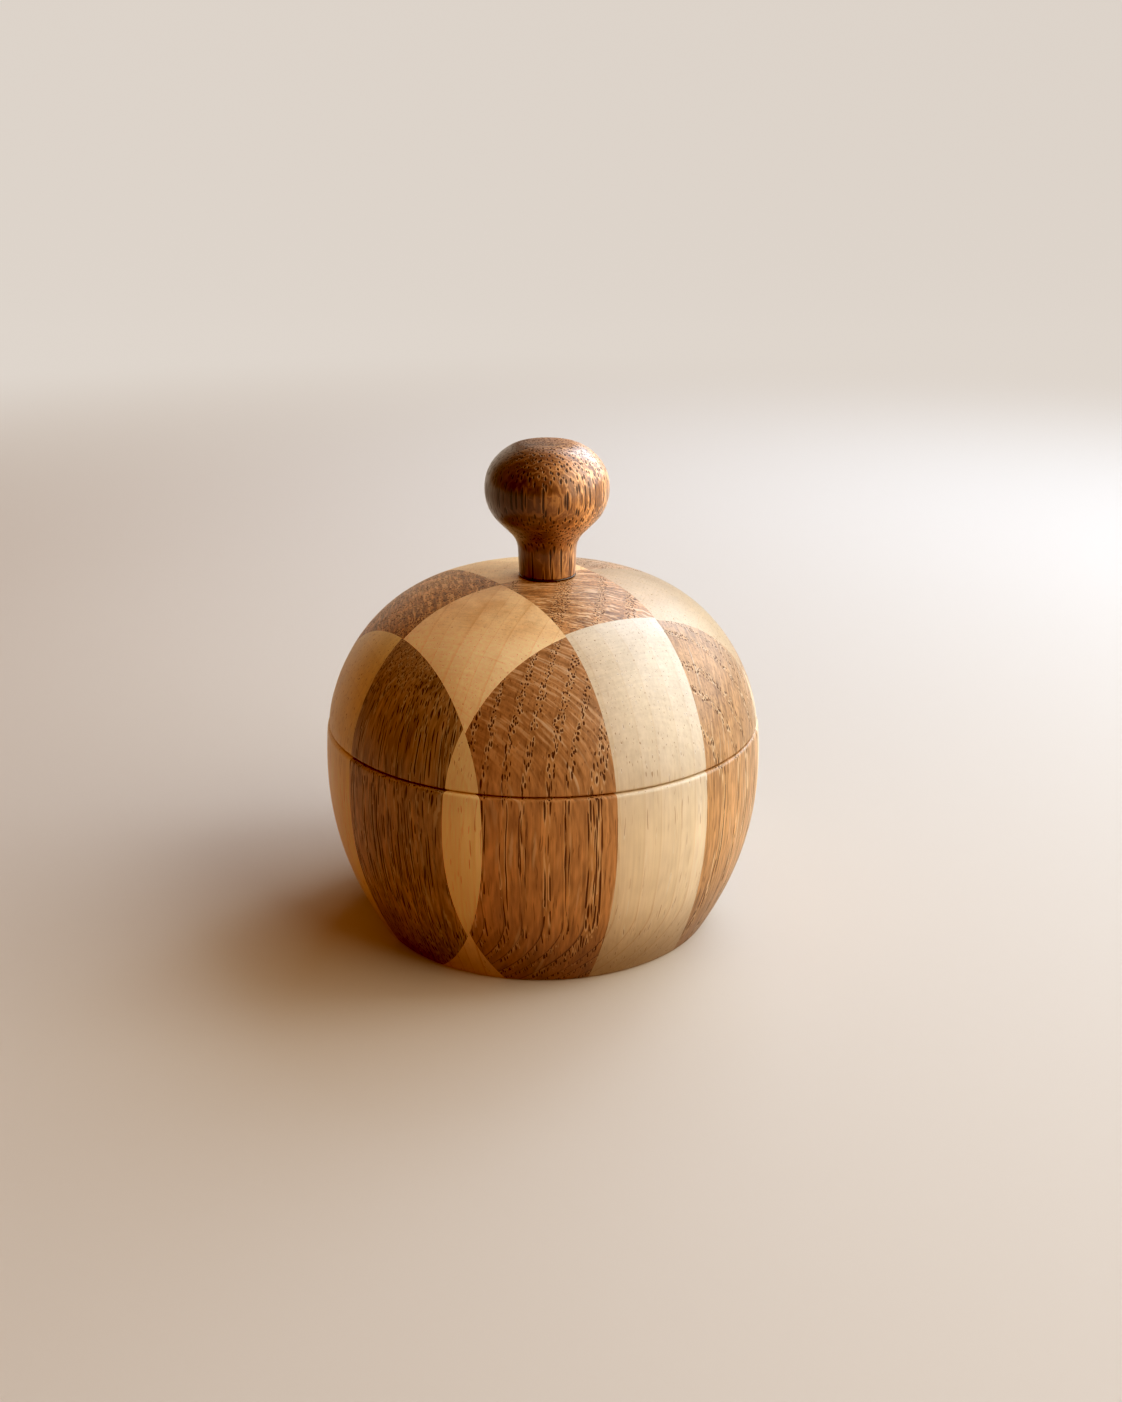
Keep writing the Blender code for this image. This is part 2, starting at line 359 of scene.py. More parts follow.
@dataclass(frozen=True)
class Grain:
    """How one piece of wood was sawn from its log, with its tone and the light painted on it. Lengths are
    in millimetres.

    The pith is the log's middle, round which the growth rings lie a ring's width apart, and middle is
    the piece's own. The rings lean with height, bow near the foot, and follow the belly in or arch over
    the dome by a share. The band is the share of a ring that holds large pores, and closed is how often
    their vessels are shut. Rays, line, vessel, figure, streak and the knob band say how much of each
    shows, wave how much the rays waver, and the painted-light slope how fast painted light pales the
    wood away from the pith, standing in for the light and sheen that fall on one side of the piece.
    """

    pith: Point
    ring: float = 4.5
    lean: float = 0.0
    seed: float = 0.0
    follow: float = 0.7
    tint: Triple = (1.0, 1.0, 1.0)
    band: float = 0.33
    rays: float = 0.16
    line: float = 1.0
    bow: float = 0.0
    wave: float = 0.35
    vessel: float = 1.0
    closed: float = 0.26
    figure: float = 1.0
    painted_light_slope: float = 0.0
    knob_band: float = 0.0
    streak: float = 0.3
    arch: float = 0.0
    middle: Point = (0.0, 0.0)

    def write(self, mesh: bpy.types.Mesh) -> None:
        """Write the grain to every point of a mesh, for the wood's material to read.

        Args:
            mesh: the piece's mesh.
        """
        values = vars(self) | {"reach": math.dist(self.pith, self.middle), "spare": 0.0}
        values |= zip(("pith_x", "pith_y", "red", "green", "blue"), (*self.pith, *self.tint))
        for name, parts in GRAIN_LAYERS.items():
            layer = mesh.attributes.new(name, "FLOAT_VECTOR", "POINT")
            layer.data.foreach_set("vector", [values[part] for part in parts] * len(mesh.vertices))


# Turns of the noises for a millimetre, along x, y and z, or for the rays round, out from and along the
# pith. They are put on the place, so a noise's own scale stays at 1. The number after it is its detail.
WANDER_SCALE = (0.05, 0.05, 0.022)
DRIFT_SCALE = (0.35, 0.35, 0.08)
RAGGED_SCALE = (1.5, 1.5, 0.14)
RIM_SCALE = (1.1, 1.1, 0.16)
SPECK_SCALE = (0.8, 0.8, 0.2)
WAVE_SCALE = (0.9, 0.45, 0.45)
HATCH_SCALE = (2.6, 0.2, 0.2)
# How far apart in the noises two pieces lie whose seeds differ by one.
SEED_SHIFT = (17.31, -9.17, 31.73)

# The width that the grain gains with the turned form: over the foot, which is drawn in by that much of
# its own radius, and over the dome.
FOOT_FOLLOW = 0.27
DOME_FOLLOW = 0.36
# The rings bow below this height in millimetres, and differ in width by a slow noise: its turns for
# each ring, and how many rings it moves them by.
BOW_HEIGHT = 17.0
UNEVEN_TURNS = 0.55
UNEVEN_RINGS = 0.9

# How unevenly the pores scatter. Each draws by chance its place in the noise that opens and shuts it as
# it climbs, and its width. The opening is the range of the noise over which it opens, and the widths
# are their range and the least of them, as shares of a pore's radius.
PORE_SCATTER = 0.85
VESSEL_CHANCE = 97.0
VESSEL_TURNS = 0.16
VESSEL_OPENING = 0.14
VESSEL_WIDTHS = (0.55, 0.72)
CLOSED_WIDTH = 0.001
SPECK_DRIFT = 1.1

# Where a mask starts and where it is full, and its strength at both where that isn't 0 and 1. Heights
# are in millimetres. Edges are shares of a radius, and the rest are shares of a ring, a noise or a
# chance.
PORE_EDGE = (1.2, 0.7)
# The pale rims round the pores are partly pale tissue and partly painted highlight on the pores' edges,
# broken by a noise into strokes.
RIM_EDGE = (2.2, 1.5)
RIM_TISSUE_AND_GLINT = (0.25, 0.6, 0.15, 1.0)
RIM_BREAKS = (0.42, 0.56)
SPECK_EDGE = (1.3, 0.6)
RAY_EDGE = (0.45, 0.2)
STREAKS = (0.55, 0.66)
STREAK_HEIGHTS = (46.0, 58.0)
EARLY_TO_LATE = (0.15, 0.7)
RING_END = (0.88, 0.985)
FOOT_LINES = (24.0, 12.0, 0.0, 0.9)
NOISE_SPAN = (0.32, 0.68)
END_GRAIN = (0.86, 0.99)

# The figure darkens the wood no further than the first, and the painted light pales it no further than the
# second.
DARKEST = 0.35
PAINTED_LIGHT_MOST = 3.5
# A soft brown laid in patches over the pale wood, in a band round the knob at these heights in
# millimetres.
KNOB_BAND_BROWN = "C8A47E"
KNOB_BAND_HEIGHTS = (65.0, 72.0)
KNOB_BAND_PATCHES = (0.3, 0.7, 0.5, 1.0)
# Painted light and shade by height, from one height to another in millimetres: painted shade darkens
# and reddens the foot, a painted lift of light brightens the belly, the lid is painted a little
# cooler and darker than the belly, and a painted highlight pales and cools the knob's top.
PAINTED_LIGHT_BY_HEIGHT = (
    ((0.0, 21.0), (0.45, 0.39, 0.32), (1.25, 1.25, 1.25)),
    ((32.0, 47.0), (1.0, 1.0, 1.0), (0.78, 0.81, 0.87)),
    ((89.0, 98.0), (1.0, 1.0, 1.0), (1.28, 1.38, 1.65)),
)

# Roughness that the fibres vary by, and that open pores and end grain add.
FIBRE_ROUGHNESS = 0.12
PORE_ROUGHNESS = 0.3
END_ROUGHNESS = 0.35
WOOD_IOR = 1.5
OIL_ROUGHNESS = 0.3
OIL_IOR = 1.47
RELIEF_STRENGTH = 0.8
# How much of the timber's pit depth each part of the figure rises or, below zero, sinks by.
RELIEF_SHARES = {"pore": -1.0, "rim": 0.12, "fibre": 0.4, "hatch": 0.9, "ray": 0.12}


def stir(
    tree: Tree, place: Link, shift: Link, scale: Triple, amount: float | Link, detail: float = 1.0
) -> Link:
    """Add a place moved sideways by a noise, so that what is drawn there wanders.

    Args:
        tree: the material's tree.
        place: the place in millimetres.
        shift: the piece's shift.
        scale: the noise's turns for each millimetre.
        amount: the whole range of the move, in millimetres.
        detail: the noise's detail.

    Returns:
        The moved place.
    """
    at = add(tree, "VectorMath.MULTIPLY_ADD", [place, scale, shift])
    noise = add(tree, "TexNoise", [at, 1.0, detail]).outputs["Color"]
    centred = add(tree, "VectorMath.SUBTRACT", [noise, (0.5, 0.5, 0.5)])
    sideways = add(tree, "CombineXYZ", [amount, amount, 0.0])
    return add(tree, "VectorMath.MULTIPLY_ADD", [centred, sideways, place])


@dataclass(frozen=True)
class Timber:
    """Solid wood, turned, sanded fine and oiled to a satin.

    Its pattern runs through the whole piece, so pores show as dots on end grain and as strokes along
    the grain, and rays show as thin lines across the rings. Lengths are in millimetres, and colours are
    those before a piece's own tint and the light and shade painted on by height and by slope.
    """

    name: str
    wood: str
    early: str
    late: str
    pore: str
    ray: str
    rim: str
    pore_spacing: float
    pore_radius: float
    pore_drift: float
    pore_ragged: float
    pore_strength: float
    rim_tissue_and_glint_strength: float
    speck_spacing: float
    speck_radius: float
    speck_strength: float
    ray_spacing: float
    ray_length: float
    ray_height: float
    ray_strength: float
    streak_strength: float
    hatch: float
    ring_line: float
    fibre: float
    blotch: float
    wander: float
    roughness: float
    coat: float
    pit_depth: float
    end_dullness: float = 0.2

    def material(self) -> bpy.types.Material:
        """Build the wood's material.

        Returns:
            The material, which reads a piece's grain from its mesh.
        """
        material = bare_material(self.name)
        tree = material.node_tree
        own = self._own(tree)
        place = self._place(tree, own)
        rings = self._rings(tree, place, own)
        figure = {
            **self._pores(tree, place, own),
            **self._rays(tree, rings, own),
            **self._fibres(tree, place, own),
            "speck": self._specks(tree, place, own),
        }
        self._surface(tree, self._colour(tree, rings, figure, own), figure)
        return material

    def _own(self, tree: Tree) -> Links:
        """Read the grain that each piece carries on its mesh.

        Args:
            tree: the material's tree.

        Returns:
            The piece's own values by name, with the shift that sets its noises apart from other
            pieces'.
        """
        own: Links = {}
        for name, parts in GRAIN_LAYERS.items():
            read = add(tree, "Attribute", attribute_name=name).outputs["Vector"]
            own.update(zip(parts, add(tree, "SeparateXYZ", [read]).outputs))
            if name in ("pith", "tint"):
                own[name] = read
        own["shift"] = add(tree, "VectorMath.MULTIPLY", [own["seed"], SEED_SHIFT])
        return own

    def _place(self, tree: Tree, own: Links) -> Link:
        """Add the place in the wood, in millimetres, with the slow wander of the tree's own growth.

        Below the widest line the grain follows the belly inwards in part, which keeps its pores long on
        the flank, and above the seam it may arch over the dome.

        Args:
            tree: the material's tree.
            own: the piece's grain.

        Returns:
            The place.
        """
        read = add(tree, "TexCoord").outputs["Object"]
        place = add(tree, "VectorMath.SCALE", [read, 1 / MM])
        height = add(tree, "SeparateXYZ", [place]).outputs["Z"]
        wider: float | Link = 1.0
        for start, end, power, follow, gain in (
            (WIDEST_LINE, 0.0, FLANK_POWER, own["follow"], FOOT_FOLLOW),
            (SEAM + SEAT_GAP / 2, CROWN, CROWN_POWER, own["arch"], DOME_FOLLOW),
        ):
            share = add(tree, "MapRange", [height, start / MM, end / MM])
            share = add(tree, "Math.POWER", [share, power])
            share = add(tree, "Math.MULTIPLY", [share, follow])
            wider = add(tree, "Math.MULTIPLY_ADD", [share, gain, wider])
        widen = add(tree, "CombineXYZ", [wider, wider, 1.0])
        place = add(tree, "VectorMath.MULTIPLY", [place, widen])
        return stir(tree, place, own["shift"], WANDER_SCALE, self.wander, 1.5)

    def _rings(self, tree: Tree, place: Link, own: Links) -> Links:
        """Add the growth rings at a place.

        Args:
            tree: the material's tree.
            place: the place in millimetres.
            own: the piece's grain.

        Returns:
            The share of the ring from its early wood (0) to its late wood (1), the way from the pith
            with its length, and the height.
        """
        apart = add(tree, "VectorMath.SUBTRACT", [place, own["pith"]])
        way = add(tree, "VectorMath.MULTIPLY", [apart, (1.0, 1.0, 0.0)])
        far = add(tree, "VectorMath.LENGTH", [way])
        height = add(tree, "SeparateXYZ", [place]).outputs["Z"]
        leant = add(tree, "Math.MULTIPLY_ADD", [height, own["lean"], far])
        low = add(tree, "Math.SUBTRACT", [BOW_HEIGHT, height])
        low = add(tree, "Math.MAXIMUM", [low, 0.0])
        low = add(tree, "Math.POWER", [low, 2.0])
        bowed = add(tree, "Math.MULTIPLY_ADD", [low, own["bow"], leant])
        count = add(tree, "Math.DIVIDE", [bowed, own["ring"]])
        along = add(tree, "Math.MULTIPLY_ADD", [count, UNEVEN_TURNS, own["seed"]])
        uneven = add(tree, "TexNoise", [along, 1.0, 0.0], noise_dimensions="1D")
        phase = add(tree, "Math.MULTIPLY_ADD", [uneven, UNEVEN_RINGS, count])
        share = add(tree, "Math.FRACT", [phase])
        return {"share": share, "way": way, "far": far, "height": height}

    def _pores(self, tree: Tree, place: Link, own: Links) -> Links:
        """Add the large pores: vessels along the grain, each wholly in or out of a ring's early wood.

        A vessel wanders sideways as it climbs, so on the flank it comes to the surface as a stroke a
        few millimetres long, and on end grain it is cut across as a dot.

        Args:
            tree: the material's tree.
            place: the place in millimetres.
            own: the piece's grain.

        Returns:
            How far a point is inside a pore (0 to 1), and the same for the pale rim round it, which is
            partly pale tissue and partly painted highlight on the pore's edge.
        """
        drift = stir(tree, place, own["shift"], DRIFT_SCALE, self.pore_drift)
        ragged = stir(tree, drift, own["shift"], RAGGED_SCALE, self.pore_ragged)
        inverse = (1 / self.pore_spacing, 1 / self.pore_spacing, 0.0)
        cell = add(tree, "VectorMath.MULTIPLY_ADD", [ragged, inverse, own["shift"]])
        scatter = {"Vector": cell, "Scale": 1.0, "Randomness": PORE_SCATTER}
        vessel = add(tree, "TexVoronoi", scatter, voronoi_dimensions="2D")
        home: Link = vessel.outputs["Position"]
        height = add(tree, "VectorMath.MULTIPLY", [place, (0.0, 0.0, 1.0)])
        spacing = (self.pore_spacing, self.pore_spacing, 0.0)
        for operation, other in (("SUBTRACT", own["shift"]), ("MULTIPLY", spacing), ("ADD", height)):
            home = add(tree, f"VectorMath.{operation}", [home, other])
        ring = self._rings(tree, home, own)
        chance = add(tree, "SeparateColor", [vessel.outputs["Color"]]).outputs
        inside = add(tree, "Math.LESS_THAN", [ring["share"], own["band"]])
        climb = add(tree, "Math.MULTIPLY", [chance["Red"], VESSEL_CHANCE])
        climb = add(tree, "Math.MULTIPLY_ADD", [ring["height"], VESSEL_TURNS, climb])
        opening = add(tree, "TexNoise", [climb, 1.0, 0.0], noise_dimensions="1D")
        opened = add(tree, "Math.ADD", [own["closed"], VESSEL_OPENING])
        opening = add(tree, "MapRange", [opening, own["closed"], opened], **EASED)
        wide = add(tree, "Math.MULTIPLY_ADD", [chance["Green"], *VESSEL_WIDTHS])
        for share in (opening, inside, own["vessel"]):
            wide = add(tree, "Math.MULTIPLY", [wide, share])
        wide = add(tree, "Math.MAXIMUM", [wide, CLOSED_WIDTH])
        radii = self.pore_spacing / self.pore_radius
        away = add(tree, "Math.MULTIPLY", [vessel.outputs["Distance"], radii])
        apart = add(tree, "Math.DIVIDE", [away, wide])
        pore = add(tree, "MapRange", [apart, *PORE_EDGE], **EASED)
        rim = add(tree, "MapRange", [apart, *RIM_EDGE], **EASED)
        paleness = add(tree, "MapRange", [chance["Blue"], *RIM_TISSUE_AND_GLINT])
        along = add(tree, "VectorMath.MULTIPLY", [ragged, RIM_SCALE])
        broken = add(tree, "MapRange", [add(tree, "TexNoise", [along, 1.0, 1.0]), *RIM_BREAKS], **EASED)
        for share in (paleness, broken):
            rim = add(tree, "Math.MULTIPLY", [rim, share])
        return {"pore": pore, "rim": rim}

    def _specks(self, tree: Tree, place: Link, own: Links) -> Link:
        """Add the small pores of the late wood: specks on end grain, hair lines along the grain.

        Args:
            tree: the material's tree.
            place: the place in millimetres.
            own: the piece's grain.

        Returns:
            How far a point is inside a speck, from 0 to 1.
        """
        drift = stir(tree, place, own["shift"], SPECK_SCALE, SPECK_DRIFT)
        inverse = (1 / self.speck_spacing, 1 / self.speck_spacing, 0.1)
        cell = add(tree, "VectorMath.MULTIPLY_ADD", [drift, inverse, own["shift"]])
        vessel = add(tree, "TexVoronoi", {"Vector": cell, "Scale": 1.0})
        chance = add(tree, "SeparateColor", [vessel.outputs["Color"]]).outputs["Red"]
        radius = self.speck_radius / self.speck_spacing
        edge = [radius * share for share in SPECK_EDGE]
        inside = add(tree, "MapRange", [vessel.outputs["Distance"], *edge], **EASED)
        return add(tree, "Math.MULTIPLY", [inside, chance])

    def _rays(self, tree: Tree, rings: Links, own: Links) -> Links:
        """Add the rays, thin upright sheets that run out from the pith, and the hatching between them.

        Args:
            tree: the material's tree.
            rings: the growth rings here.
            own: the piece's grain.

        Returns:
            How far a point is inside a ray, from 0 to 1, the hatching, about a half, and the pale
            streaks.
        """
        middle = add(tree, "VectorMath.MULTIPLY", [own["pith"], (-1.0, -1.0, 0.0)])
        angles = []
        for way in (rings["way"], middle):
            x, y, _ = add(tree, "SeparateXYZ", [way]).outputs
            angles.append(add(tree, "Math", [y, x], operation="ARCTAN2"))
        angle = add(tree, "Math.SUBTRACT", angles)
        angle = add(tree, "Math.WRAP", [angle, math.pi, -math.pi])
        across = add(tree, "Math.MULTIPLY", [angle, own["reach"]])
        sheet = add(tree, "CombineXYZ", [across, rings["far"], rings["height"]])
        waved = stir(tree, sheet, own["shift"], WAVE_SCALE, own["wave"], 2.0)
        inverse = (1 / self.ray_spacing, 1 / self.ray_length, 1 / self.ray_height)
        cell = add(tree, "VectorMath.MULTIPLY_ADD", [waved, inverse, own["shift"]])
        vein = add(tree, "TexVoronoi", {"Vector": cell, "Scale": 1.0})
        chance = add(tree, "SeparateColor", [vein.outputs["Color"]]).outputs
        kept = add(tree, "Math.LESS_THAN", [chance["Red"], own["rays"]])
        kept = add(tree, "Math.MULTIPLY", [kept, chance["Green"]])
        inside = add(tree, "MapRange", [vein.outputs["Distance"], *RAY_EDGE], **EASED)
        ray = add(tree, "Math.MULTIPLY", [inside, kept])
        fine = add(tree, "VectorMath.MULTIPLY_ADD", [waved, HATCH_SCALE, own["shift"]])
        hatch = add(tree, "TexNoise", [fine, 1.0, 1.0])
        streak = add(tree, "MapRange", [hatch, *STREAKS], **EASED)
        above = add(tree, "MapRange", [rings["height"], *STREAK_HEIGHTS], **EASED)
        for share in (own["streak"], above):
            streak = add(tree, "Math.MULTIPLY", [streak, share])
        return {"ray": ray, "hatch": hatch, "streak": streak}

    def _fibres(self, tree: Tree, place: Link, own: Links) -> Links:
        """Add the fine fibres along the grain, the slow blotches of colour and the soft brown patches
        round the knob.

        Args:
            tree: the material's tree.
            place: the place in millimetres.
            own: the piece's grain.

        Returns:
            The three, each from 0 to 1.
        """
        made: Links = {}
        for name, scale, detail, rough in (
            ("fibre", (1.5, 1.5, 0.06), 2.0, 0.6),
            ("blotch", (0.16, 0.16, 0.05), 2.5, 0.5),
            ("knob_patch", (0.2, 0.2, 0.1), 2.0, 0.5),
        ):
            at = add(tree, "VectorMath.MULTIPLY_ADD", [place, scale, own["shift"]])
            made[name] = add(tree, "TexNoise", [at, 1.0, detail, rough])
        return made

    def _colour(self, tree: Tree, rings: Links, figure: Links, own: Links) -> Link:
        """Mix the wood's colour.

        Args:
            tree: the material's tree.
            rings: the growth rings here.
            figure: the pores, rays, fibres and the rest that the rings don't give.
            own: the piece's grain.

        Returns:
            The colour.
        """
        across = add(tree, "MapRange", [rings["share"], *EARLY_TO_LATE], **EASED)
        body = add(tree, "Mix", [across, linear(self.early), linear(self.wood)], data_type="RGBA")
        change: float | Link = 0.0
        for name, amount in (("fibre", self.fibre), ("blotch", self.blotch), ("hatch", self.hatch)):
            swing = add(tree, "MapRange", [figure[name], *NOISE_SPAN, -amount, amount])
            change = add(tree, "Math.ADD", [change, swing])
        shade = add(tree, "Math.MULTIPLY_ADD", [change, own["figure"], 1.0])
        shade = add(tree, "Math.MAXIMUM", [shade, DARKEST])
        body = add(tree, "VectorMath.SCALE", [body, shade])

        line = add(tree, "MapRange", [rings["share"], *RING_END, 0.0, self.ring_line], **EASED)
        foot = add(tree, "MapRange", [rings["height"], *FOOT_LINES], **EASED)
        clear = add(tree, "Math.ADD", [own["line"], foot])
        # The rim's pale colour is partly pale tissue and partly painted highlight on the pores' edges.
        for mask, strength, colour in (
            (line, clear, self.late),
            (figure["speck"], self.speck_strength, self.pore),
            (figure["streak"], self.streak_strength, self.ray),
            (figure["ray"], self.ray_strength, self.ray),
            (figure["rim"], self.rim_tissue_and_glint_strength, self.rim),
            (figure["pore"], self.pore_strength, self.pore),
        ):
            share = add(tree, "Math.MULTIPLY", [mask, strength])
            body = add(tree, "Mix", [share, body, linear(colour)], data_type="RGBA")

        # Painted light: the wood is painted paler away from the pith, standing in for the light and sheen
        # that fall on one side.
        outer = add(tree, "Math.SUBTRACT", [rings["far"], own["reach"]])
        outer = add(tree, "Math.MULTIPLY", [outer, own["painted_light_slope"]])
        outer = add(tree, "Math.EXPONENT", [outer])
        outer = add(tree, "Math.MINIMUM", [outer, PAINTED_LIGHT_MOST])
        body = add(tree, "VectorMath.MULTIPLY", [body, own["tint"]])
        body = add(tree, "VectorMath.SCALE", [body, outer])

        # Soft brown patches in a band round the knob.
        knob_patch = add(tree, "MapRange", [figure["knob_patch"], *KNOB_BAND_PATCHES], **EASED)
        near = add(tree, "MapRange", [rings["height"], *KNOB_BAND_HEIGHTS], **EASED)
        for share in (near, own["knob_band"]):
            knob_patch = add(tree, "Math.MULTIPLY", [knob_patch, share])
        knob_band = [knob_patch, body, linear(KNOB_BAND_BROWN)]
        body = add(tree, "Mix", knob_band, data_type="RGBA", blend_type="MULTIPLY")
        # Painted light and shade by height: shade at the foot, light on the belly, a cooler lid, a
        # highlight on the knob's top.
        for heights, before, after in PAINTED_LIGHT_BY_HEIGHT:
            share = add(tree, "MapRange", [rings["height"], *heights], **EASED)
            painted_light = add(tree, "Mix", [share, before, after], data_type="VECTOR")
            body = add(tree, "VectorMath.MULTIPLY", [body, painted_light])
        return body

    def _surface(self, tree: Tree, colour: Link, figure: Links) -> None:
        """Add the oiled surface, with open pores as pits and the fibres as a faint relief.

        Wood that faces up shows its end grain, which drinks the oil and stays duller.

        Args:
            tree: the material's tree.
            colour: the wood's colour.
            figure: the pores, rays, fibres and the rest that the rings don't give.
        """
        rough: float | Link = self.roughness - FIBRE_ROUGHNESS / 2
        for name, amount in (("fibre", FIBRE_ROUGHNESS), ("pore", PORE_ROUGHNESS)):
            rough = add(tree, "Math.MULTIPLY_ADD", [figure[name], amount, rough])
        relief: float | Link = 0.0
        for name, amount in RELIEF_SHARES.items():
            relief = add(tree, "Math.MULTIPLY_ADD", [figure[name], amount * self.pit_depth, relief])
        facing = add(tree, "NewGeometry").outputs["Normal"]
        upward = add(tree, "SeparateXYZ", [facing]).outputs["Z"]
        end_grain = add(tree, "MapRange", [upward, *END_GRAIN, 0.0, self.end_dullness], **EASED)
        surface = {
            "Base Color": colour,
            "Roughness": add(tree, "Math.MULTIPLY_ADD", [end_grain, END_ROUGHNESS, rough]),
            "IOR": WOOD_IOR,
            "Normal": add(tree, "Bump", {"Strength": RELIEF_STRENGTH, "Distance": MM, "Height": relief}),
            "Coat Weight": add(tree, "Math.MULTIPLY_ADD", [end_grain, -self.coat, self.coat]),
            "Coat Roughness": OIL_ROUGHNESS,
            "Coat IOR": OIL_IOR,
        }
        add(tree, "OutputMaterial", {"Surface": add(tree, "BsdfPrincipled", surface)})


# Hard maple, turned and oiled: pale cream turning to honey, nearly even, with brown flecks of fine
# pores and faint rings. It gives the eye the light squares of the chequer, with a soft broad sheen.
OILED_MAPLE = Timber(
    name="maple_turned_and_oiled",
    wood="E7CEA5", early="E9D0A8", late="BC8644", pore="8A5628", ray="C0905A", rim="F5E6C8",
    pore_spacing=1.0, pore_radius=0.11, pore_drift=1.4, pore_ragged=0.5, pore_strength=0.5,
    rim_tissue_and_glint_strength=0.4, speck_spacing=0.55, speck_radius=0.12, speck_strength=0.22,
    ray_spacing=0.34, ray_length=7.0, ray_height=5.0, ray_strength=0.3, streak_strength=0.0, hatch=0.04,
    ring_line=0.3, fibre=0.06, blotch=0.06, wander=2.2, roughness=0.40, coat=0.2, pit_depth=0.03,
)

# Brown oak, turned and oiled: rows of open pores along each growth ring, and pale rays across them. It
# gives the eye the dark squares, with dotted rows on the lid's end grain and long dark strokes down the
# flank.
OILED_OAK = Timber(
    name="oak_turned_and_oiled",
    wood="BA8658", early="BE8A5A", late="452210", pore="3E1D0C", ray="ECC69A", rim="E4B888",
    pore_spacing=0.53, pore_radius=0.165, pore_drift=1.1, pore_ragged=0.3, pore_strength=0.94,
    rim_tissue_and_glint_strength=0.85, speck_spacing=0.46, speck_radius=0.13, speck_strength=0.65,
    ray_spacing=0.42, ray_length=15.0, ray_height=12.0, ray_strength=0.66, streak_strength=0.5,
    hatch=0.22, ring_line=0.75, fibre=0.16, blotch=0.12, wander=1.8,
    roughness=0.42, coat=0.25, pit_depth=0.07,
)

# Dark brown oak, turned and oiled to more of a shine: the knob, handled most, so its pores stand out
# nearly black and it takes a clear soft highlight, with its end grain on top much duller.
HANDLED_OAK = replace(
    OILED_OAK,
    name="dark_oak_turned_and_handled",
    wood="986742", early="9C6A42", late="4E2810", pore="1C0A04", ray="E0A468", rim="D89A60",
    pore_spacing=0.86, pore_radius=0.205, pore_drift=0.4, pore_ragged=0.13, pore_strength=0.95,
    rim_tissue_and_glint_strength=0.8, speck_strength=0.55, ray_length=5.0, ray_height=5.0, ray_strength=0.5, hatch=0.28,
    ring_line=0.2, fibre=0.2, blotch=0.4, wander=1.6, roughness=0.3, coat=0.62, end_dullness=0.95,
)


@dataclass(frozen=True)
class OilAndShadeFinish:
    """Oil and dust set hard in the corner round the knob's foot, with a wet shine; its near-black also
    paints the shade in that corner.

    The lumps are turns of their noise for a metre, which gives lumps of about a millimetre.
    """

    name: str = "set_oil_and_painted_shade"
    # Nearly black: set oil, and painted shade in the corner at the knob's foot.
    colour: str = "1C0D06"
    paler: str = "3A2010"
    roughness: float = 0.22
    roughness_range: float = 0.2
    ior: float = 1.48
    lumps: float = 1400.0
    lump_strength: float = 0.4
    lump_height: float = 0.1 * MM

    def material(self) -> bpy.types.Material:
        """Build the material.

        Returns:
            The material, whose colour and gloss vary with its lumps.
        """
        material = bare_material(self.name)
        tree = material.node_tree
        read = add(tree, "TexCoord").outputs["Object"]
        lumps = add(tree, "TexNoise", [read, self.lumps, 2.0])
        glossy = self.roughness - self.roughness_range / 2
        relief = {"Strength": self.lump_strength, "Distance": self.lump_height, "Height": lumps}
        colour = add(tree, "Mix", [lumps, linear(self.colour), linear(self.paler)], data_type="RGBA")
        surface = {
            "Base Color": colour,
            "Roughness": add(tree, "Math.MULTIPLY_ADD", [lumps, self.roughness_range, glossy]),
            "IOR": self.ior,
            "Normal": add(tree, "Bump", relief),
        }
        add(tree, "OutputMaterial", {"Surface": add(tree, "BsdfPrincipled", surface)})
        return material


@dataclass(frozen=True)
class PaleCard:
    """Matt pale card or paint round the cellar, plain but for the tooth of its fibres.

    From the near distance to the far one it turns from a lit surface into an even glow, so that no
    light's edge shows on it. Distances are in metres from the cellar, and the tooth is in turns of its
    noise for a metre.
    """

    name: str
    colour: str = "D8D3CB"
    roughness: float = 0.9
    specular: float = 0.1
    tooth: float = 900.0
    tooth_strength: float = 0.1
    tooth_height: float = 0.05 * MM
    near: float = 0.3
    far: float = 0.8
    far_colour: str = "DDD8D4"

    def material(self) -> bpy.types.Material:
        """Build the material.

        Returns:
            The material, which turns into a glow with the distance.
        """
        material = bare_material(self.name)
        tree = material.node_tree
        read = add(tree, "TexCoord").outputs["Object"]
        tooth = add(tree, "TexNoise", [read, self.tooth, 2.0])
        relief = {"Strength": self.tooth_strength, "Distance": self.tooth_height, "Height": tooth}
        away = add(tree, "VectorMath.LENGTH", [read])
        share = add(tree, "MapRange", [away, self.near, self.far], **EASED)
        lit = add(tree, "Mix", [share, linear(self.colour), linear("000000")], data_type="RGBA")
        surface = {
            "Base Color": lit,
            "Roughness": self.roughness,
            "Specular IOR Level": self.specular,
            "Normal": add(tree, "Bump", relief),
            "Emission Color": linear(self.far_colour),
            "Emission Strength": share,
        }
        add(tree, "OutputMaterial", {"Surface": add(tree, "BsdfPrincipled", surface)})
        return material


@dataclass(frozen=True)
class StavePlace:
    """One square of the chequer: a stave's node and the planes that bound it, as (x, y)."""

    node: str
    column: str
    row: int
    slot: Slot
    low: tuple[float | None, float | None]
    high: tuple[float | None, float | None]


